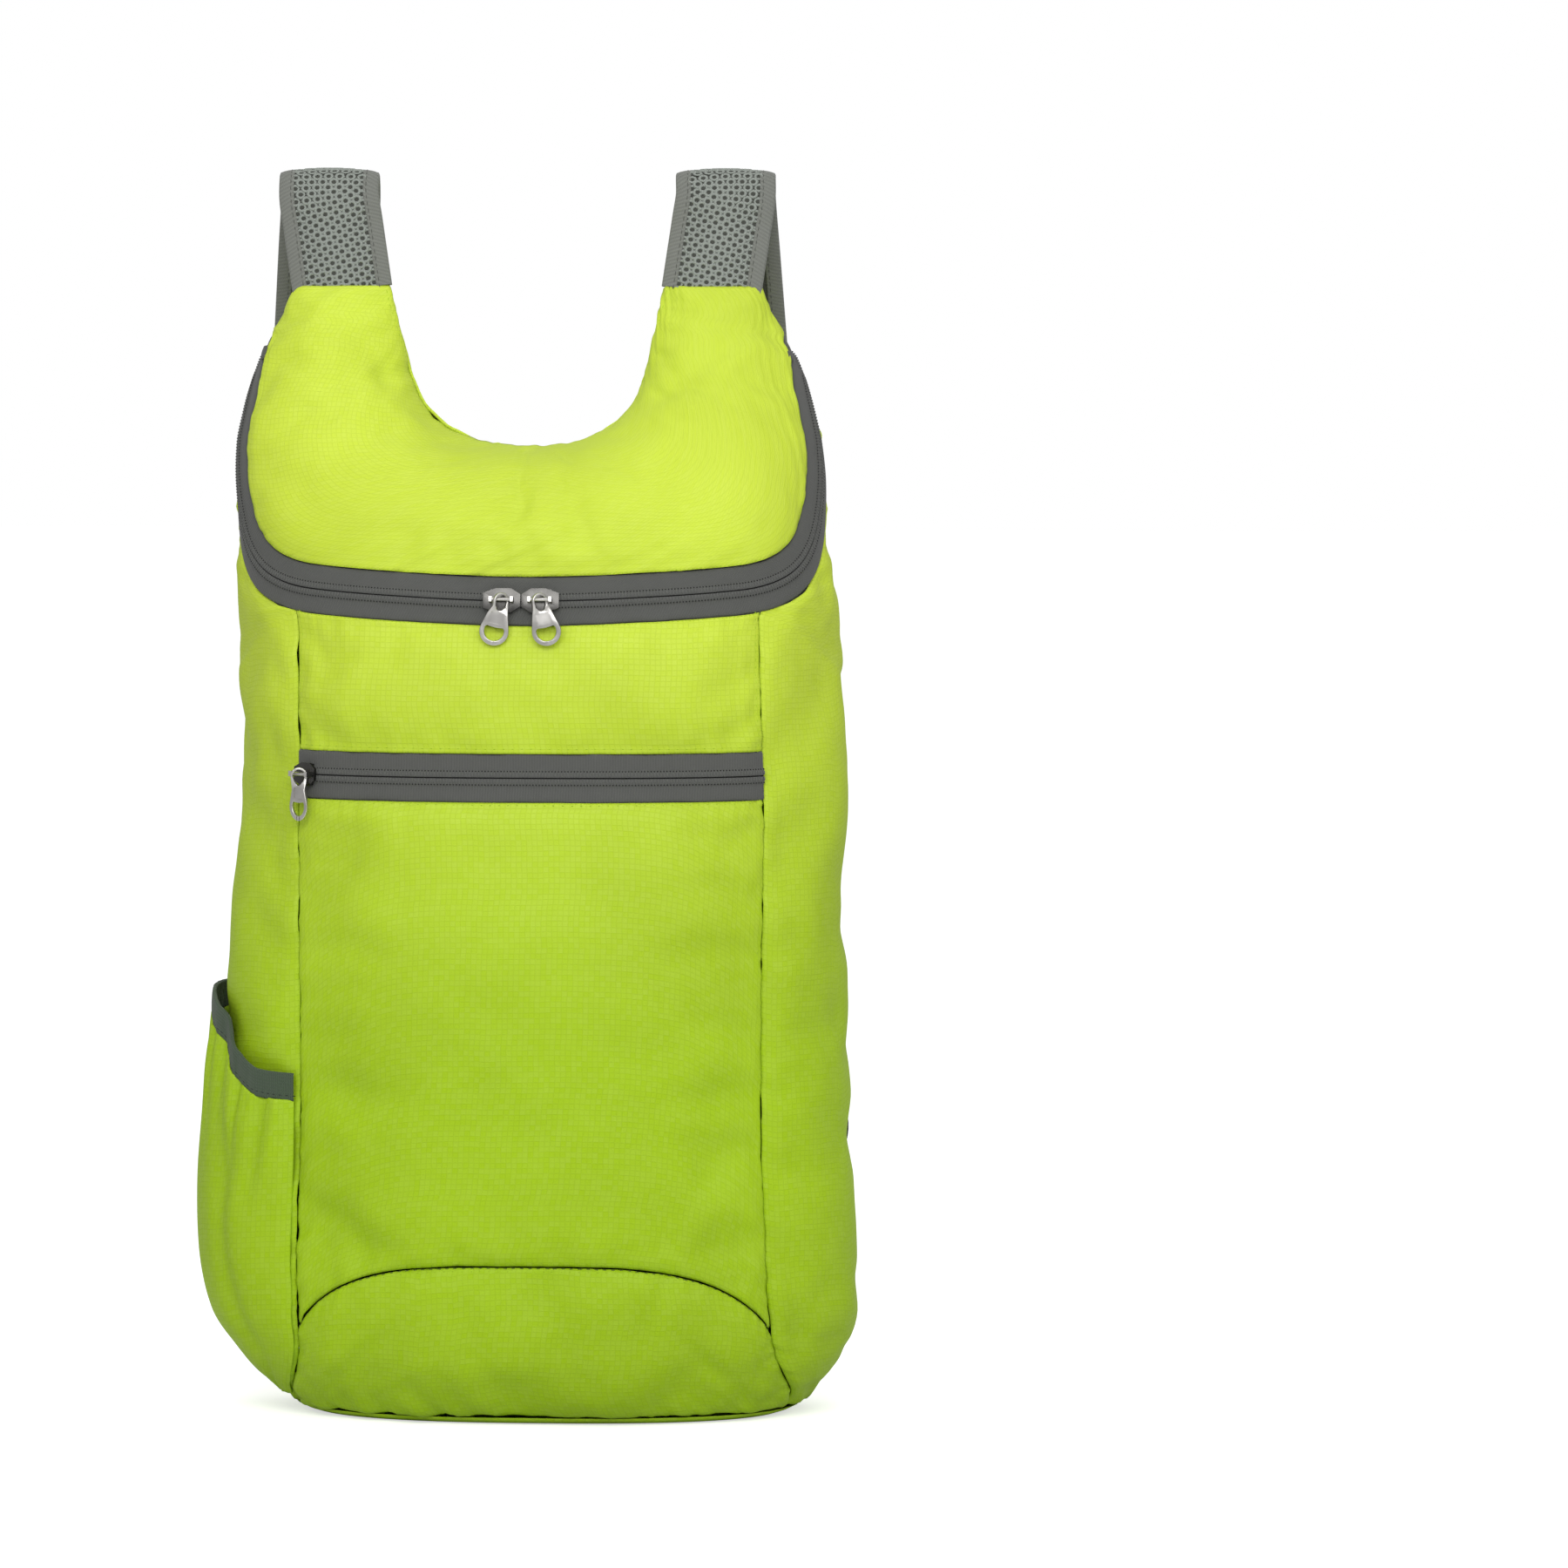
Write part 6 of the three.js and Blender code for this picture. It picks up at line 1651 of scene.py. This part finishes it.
class BACKPACK_OT_side_pocket(bpy.types.Operator):
    """Makes the gathered side pocket and its ribbed elastic binding"""
    bl_idname = "backpack.side_pocket"
    bl_label = "Side pocket"

    def execute(self, context):
        u, v = np.meshgrid(spaced(POCKET_COLUMNS, EDGE_CROWD), np.linspace(0, 1, 92), indexing="ij")
        top = mouth_height(u) - BINDING_HEIGHT - GAP
        height = lerp(POCKET_FOOT_HEIGHT, top, v)
        rise = (height - POCKET_FOOT_HEIGHT) / (mouth_height(u) - POCKET_FOOT_HEIGHT)
        below = top - height
        run = u * POCKET_RUN
        fan = run + 0.22 * below * (u - 0.5) * 2
        gathers = (1.2 * bell(below / 24) * wave(fan / 3.9, 81)
                   + 1.5 * bell((below - 12) / 30) * wave(fan / 9, 82)
                   + 1.7 * cloud(fan / 30, height / 26, 83) * np.clip(below / 30, 0, 1))
        foot = 0.7 * bell((height - POCKET_FOOT_HEIGHT) / 12) * wave(run / 6.5, 84)
        sides = np.clip(np.minimum(run, POCKET_RUN - run) / 9, 0, 1)
        stand = pocket_stand(u, rise) + CLOTH + (gathers + foot) * sides
        points = over_gusset(u, height, np.maximum(stand, 1.4))
        ways = grid_normals(points, away(points))
        obj = sheet_object("side_pocket_cloth", points, ways, 1.1, material("lime"))
        finish_piece(obj, "bag", "side_pocket", slot="lime_cloth")
        flat_sheet(points)

        u, v = np.meshgrid(spaced(POCKET_COLUMNS, EDGE_CROWD), np.linspace(0, 1, 12), indexing="ij")
        low = mouth_height(u) - BINDING_HEIGHT
        height = lerp(low - 0.8, mouth_height(u), v)
        rise = (low - POCKET_FOOT_HEIGHT) / (mouth_height(u) - POCKET_FOOT_HEIGHT)
        sides = np.clip(np.minimum(u, 1 - u) * POCKET_RUN / 9, 0, 1)
        ripple = 0.55 * wave(u * POCKET_RUN / 3.9, 81) * (1 - 0.7 * v) * sides
        roll = 0.45 * np.sqrt(np.clip(1 - (2 * v - 1) ** 2, 0, 1))
        points = over_gusset(u, height, np.maximum(pocket_stand(u, rise) + 1.35 + ripple + roll, 1.5))
        ways = grid_normals(points, away(points))
        obj = sheet_object("side_pocket_elastic", points, ways, 1.5, material("elastic"))
        finish_piece(obj, "bag", "side_pocket_binding", slot="elastic")
        GRIDS["binding"] = (points, ways)
        return {"FINISHED"}


class BACKPACK_OT_straps(bpy.types.Operator):
    """Makes both padded straps with their air mesh and folded bindings"""
    bl_idname = "backpack.straps"
    bl_label = "Shoulder straps"

    def execute(self, context):
        straps = context.scene.backpack_straps
        across_pitch, along_pitch = straps.cell_across / MM, straps.cell_along / MM
        for side, name in ((-1, "left"), (1, "right")):
            dense = strap_frames(side)
            length = dense[0][-1]
            frames = frames_at(dense, np.linspace(0, length, 200))
            a = np.sin(np.linspace(-0.5, 0.5, 22) * np.pi) * PAD_HALF
            profile = np.concatenate([np.stack([a, pad_front(a)], 1),
                                      np.stack([a[::-1], pad_back(a[::-1])], 1)])
            pad = swept("strap_pad_cloth_" + name, frames, profile, material("lining"))
            finish_piece(pad, "bag", "strap_pad_" + name, slot="strap_mesh")
            for part, where in ((side, "outer"), (-side, "inner")):
                edging = swept("strap_binding_" + where + "_" + name, frames, edging_profile(part),
                               material("edging"))
                finish_piece(edging, "bag", "strap_edging_" + where + "_" + name, slot="strap_edging")
            lines = []
            lanes = np.arange(-6, 7)
            for lane in lanes:
                first = 1.6 + (along_pitch / 2 if lane % 2 else 0)
                at = frames_at(dense, np.arange(first, length - 2, along_pitch))
                offset = lane * across_pitch / 2
                row = placed(at, [[offset]], [[pad_front(offset) - 0.02]])[:, 0]
                lines.append((row, -at[3]))
            cells = run_tree("strap_air_mesh_" + name, Trees.air, lines,
                             {"Length": along_pitch * MM, "Width": across_pitch * MM, "Height": 0.0026},
                             material("mesh"))
            finish_piece(cells, "bag", slot="strap_mesh")
            rows = []
            for sign in (-1, 1):
                inner = sign * (STRAP_WIDTH / 2 - EDGING_WIDTH + 1.4)
                for out, turn in ((pad_front(inner) - 0.74, -1), (pad_back(inner) + 0.74, 1)):
                    rows.append((placed(frames, [[inner]], [[out]])[:, 0], turn * frames[3]))
            stitches("strap_stitches_" + name, rows, "edging_thread", pitch=2.9, length=2.1, width=0.42,
                     height=0.34)
        return {"FINISHED"}


class BACKPACK_OT_webbing(bpy.types.Operator):
    """Makes the webbing from the side seams, the loops at the strap ends and the buckles"""
    bl_idname = "backpack.webbing"
    bl_label = "Webbing and buckles"

    def execute(self, context):
        pitch, first = BUCKLE_BAR + BUCKLE_SLOT, BUCKLE_SETBACK
        for side, name in ((-1, "left"), (1, "right")):
            origin, across, out, down = strap_end(side)

            def at(o, d):
                return origin + out * o + down * d
            r = BAR_WRAP_RADIUS
            loop = [at(0.7 * r, -1.5), at(r, 0.6 * first)] + wrap_round(at, first, 0, 180, 6)
            loop += [at(-r, 0.6 * first), at(-0.7 * r, -1.5)]
            _, strip = banded("strap_loop_band_" + name, loop, across, across, material("edging"))
            finish_piece(strip, "bag", "strap_loop_" + name, slot="strap_edging")
            shift = SOLID_SWAY - HORN_SWAY - STRAP_LEAN * (origin[1] - STRAP_ROOT[1])
            softened_copy("buckle_" + name, "buckle_plastic_" + name, material("plastic"), 0.5, "bag",
                          "buckle_plastic", shift)
            angle = side * (back_seam(ANCHOR_HEIGHT) + ANCHOR_ANGLE)
            seam = body_point(angle, ANCHOR_HEIGHT)
            along_seam = unit(body_point(angle - 1, ANCHOR_HEIGHT) - body_point(angle + 1, ANCHOR_HEIGHT))
            seam_out = unit(np.cross([0, 0, 1.0], along_seam))
            anchor = seam + seam_out * (1.5 * GAP + WEBBING_THICKNESS)
            low = at(r, first + 2 * pitch + WEBBING_STRAIGHT)
            swing = lerp(anchor, low, 0.4)
            swing[0] = side * (BODY_HALF_WIDTH - WEBBING_WIDTH / 2) - HORN_SWAY
            swing[1] = anchor[1] + WEBBING_SWING
            foot = first + 2 * pitch
            route = [anchor, swing, low, at(r, first + 1.5 * pitch)]
            route += wrap_round(at, first + pitch, 0, -180, 4)
            route += [at(-r, foot), at(-lerp(r, TAIL_LIFT, 0.4), foot + TAIL_LENGTH / 2),
                      at(-TAIL_LIFT, foot + TAIL_LENGTH)]
            frames, strip = banded("webbing_band_" + name, route, across, along_seam, material("webbing"))
            finish_piece(strip, "bag", "webbing_" + name, slot="webbing")
            near = frames_at(frames, np.linspace(1.5, 16, 12))
            turn = 1 if (near[3][0] @ seam_out) > 0 else -1
            box = [placed(near, [[a]], [[0.62 * turn]])[:, 0] for a in (-7.5, 7.5)]
            cross = [np.array([box[0][0], box[1][-1]]), np.array([box[1][0], box[0][-1]])]
            ends = [np.array([box[0][k], box[1][k]]) for k in (0, -1)]
            rows = [(row, np.tile(turn * near[3][0], (len(row), 1))) for row in box + cross + ends]
            stitches("anchor_stitches_" + name, rows, "edging_thread", pitch=2.2, length=1.6, width=0.45,
                     height=0.4)
        return {"FINISHED"}


class BACKPACK_OT_stitching(bpy.types.Operator):
    """Sets the stitch rows beside zips, seams, neck and binding, and the needle marks of painted shade in
    darker lime
    """
    bl_idname = "backpack.stitching"
    bl_label = "Stitching"

    def execute(self, context):
        def rows(*wanted):
            return [edge_row(*GRIDS[name], border, inset, sink=0.08) for name, border, inset in wanted]
        # Needle marks: short dashes of darker lime, painted shade in the stitch dents.
        stitches("needle_mark_shade", rows(("upper", 2, 2.0), ("lower", 3, 1.3), ("foot", 3, 1.6),
                                      ("lower", 2, 1.6)),
                 "needle_shade", pitch=3.7, length=1.3, width=0.55, height=0.2)
        stitches("zip_edge_stitches", rows(("lid", 2, 0.45), ("upper", 3, 0.45), ("upper", 2, 0.4),
                                           ("lower", 3, 0.4)),
                 "lime_thread", pitch=1.7, length=1.0, width=0.5, height=0.3)
        seams = [(name, border, 2.2) for name in ("upper", "lower", "foot") for border in (0, 1)]
        seams += [("back", 0, 2.4), ("back", 1, 2.4), ("lid", 3, 3.6), ("back", 3, 3.6)]
        stitches("seam_stitches", rows(*seams),
                 "lime_thread", pitch=3.1, length=2.2, width=0.42, height=0.25)
        stitches("arc_seam_stitches", rows(("foot", 3, 0.25)), "dark_thread", pitch=3.4, length=2.2,
                 width=0.6, height=0.4)
        stitches("binding_stitches", rows(("binding", 2, 2.2)), "gap_shade_and_dark_stitches", pitch=2.8, length=1.8, width=0.4,
                 height=0.35)
        return {"FINISHED"}


def by_camera(n, other, seen, output):
    """Gives a tree one shader for what the camera sees itself and another for all other rays."""
    path = n.add("ShaderNodeLightPath")
    mixed = n.add("ShaderNodeMixShader", {0: path.outputs["Is Camera Ray"], 1: other.outputs[0],
                                          2: seen.outputs[0]})
    out = n.add(output)
    n.tree.links.new(mixed.outputs[0], out.inputs[0])


class BACKPACK_OT_stage(bpy.types.Operator):
    """Sets the pale floor, the soft studio light and the camera"""
    bl_idname = "backpack.stage"
    bl_label = "Stage"

    def execute(self, context):
        scene, stage = context.scene, context.scene.backpack_stage
        scene.view_settings.view_transform = "Standard"
        world = bpy.data.worlds.new("Studio")
        scene.world = world
        world.use_nodes = True
        tree = world.node_tree
        tree.nodes.clear()
        n = Nodes(tree)
        seen = n.add("ShaderNodeBackground", {0: (1, 1, 1, 1), 1: 1.0})
        light = n.add("ShaderNodeBackground", {0: (1, 1, 1, 1), 1: 0.5})
        by_camera(n, light, seen, "ShaderNodeOutputWorld")

        size, under = 6.0, -0.0004
        mesh = bpy.data.meshes.new("floor")
        corners = [(-size, -size, under), (size, -size, under), (size, size, under), (-size, size, under)]
        mesh.from_pydata(corners, [], [(0, 1, 2, 3)])
        floor = linked("floor", mesh)
        pale = bpy.data.materials.new("Pale floor")
        pale.use_nodes = True
        pale.node_tree.nodes.clear()
        n = Nodes(pale.node_tree)
        dull = n.add("ShaderNodeBsdfDiffuse", {0: (0.75, 0.75, 0.75, 1)})
        white = n.add("ShaderNodeBsdfDiffuse", {0: (0.9, 0.9, 0.9, 1)})
        glow = n.add("ShaderNodeEmission", {0: (1, 1, 1, 1), 1: 0.58})
        lit = n.add("ShaderNodeAddShader", {0: white.outputs[0], 1: glow.outputs[0]})
        by_camera(n, dull, lit, "ShaderNodeOutputMaterial")
        mesh.materials.append(pale)

        for name, place, power, width, tall in (
                ("key", (0.03, -1.05, 0.86), stage.key_power, 1.0, 0.6),
                ("fill", (1.9, -1.6, 0.9), 0.4 * stage.key_power, 0.7, 1.4),
                ("top", (0.0, 0.1, 2.2), 0.9 * stage.key_power, 1.4, 1.0)):
            data = bpy.data.lights.new(name, "AREA")
            data.shape = "RECTANGLE"
            data.size, data.size_y, data.energy = width, tall, power
            lamp = linked(name, data)
            lamp.location = place
            lamp.rotation_euler = (Vector((0, 0, 0.25)) - Vector(place)).to_track_quat("-Z", "Y").to_euler()

        data = bpy.data.cameras.new("camera")
        camera = linked("camera", data)
        distance = 4.0
        frame_width = IMAGE_SIDE * PIXEL * MM
        data.sensor_width = 36.0
        data.lens = data.sensor_width * distance / frame_width
        data.clip_end = 50
        right = Vector((math.cos(stage.azimuth), math.sin(stage.azimuth), 0))
        target = right * ((IMAGE_SIDE / 2 - ORIGIN_PIXEL[0]) * PIXEL * MM)
        target.z = (ORIGIN_PIXEL[1] - IMAGE_SIDE / 2) * PIXEL * MM
        way = Vector((math.sin(stage.azimuth) * math.cos(stage.elevation),
                      -math.cos(stage.azimuth) * math.cos(stage.elevation), math.sin(stage.elevation)))
        camera.location = target + way * distance
        camera.rotation_euler = (-way).to_track_quat("-Z", "Y").to_euler()
        scene.camera = camera
        return {"FINISHED"}


OPERATORS = (BACKPACK_OT_stage, BACKPACK_OT_finishes, BACKPACK_OT_lid, BACKPACK_OT_front,
             BACKPACK_OT_gussets, BACKPACK_OT_back, BACKPACK_OT_zips, BACKPACK_OT_sliders,
             BACKPACK_OT_side_pocket, BACKPACK_OT_straps, BACKPACK_OT_webbing, BACKPACK_OT_stitching)
GROUPS = (("backpack_cloth", BackpackCloth), ("backpack_zips", BackpackZips),
          ("backpack_straps", BackpackStraps), ("backpack_stage", BackpackStage))


class BACKPACK_PT_panel(bpy.types.Panel):
    """Sizes, colours and steps of the backpack"""
    bl_idname = "BACKPACK_PT_panel"
    bl_label = "Folding backpack"
    bl_space_type = "VIEW_3D"
    bl_region_type = "UI"
    bl_category = "Backpack"

    def draw(self, context):
        for name, group in GROUPS:
            box = self.layout.box()
            for prop in group.__annotations__:
                box.prop(getattr(context.scene, name), prop)
        for operator in OPERATORS:
            self.layout.operator(operator.bl_idname)


def register():
    for name, group in GROUPS:
        bpy.utils.register_class(group)
        setattr(bpy.types.Scene, name, bpy.props.PointerProperty(type=group))
    for cls in OPERATORS + (BACKPACK_PT_panel,):
        bpy.utils.register_class(cls)


def unregister():
    for cls in reversed(OPERATORS + (BACKPACK_PT_panel,)):
        bpy.utils.unregister_class(cls)
    for name, group in reversed(GROUPS):
        delattr(bpy.types.Scene, name)
        bpy.utils.unregister_class(group)


def main():
    register()
    for operator in OPERATORS:
        group, name = operator.bl_idname.split(".")
        getattr(getattr(bpy.ops, group), name)()
    bpy.context.view_layer.update()


if __name__ == "__main__":
    main()
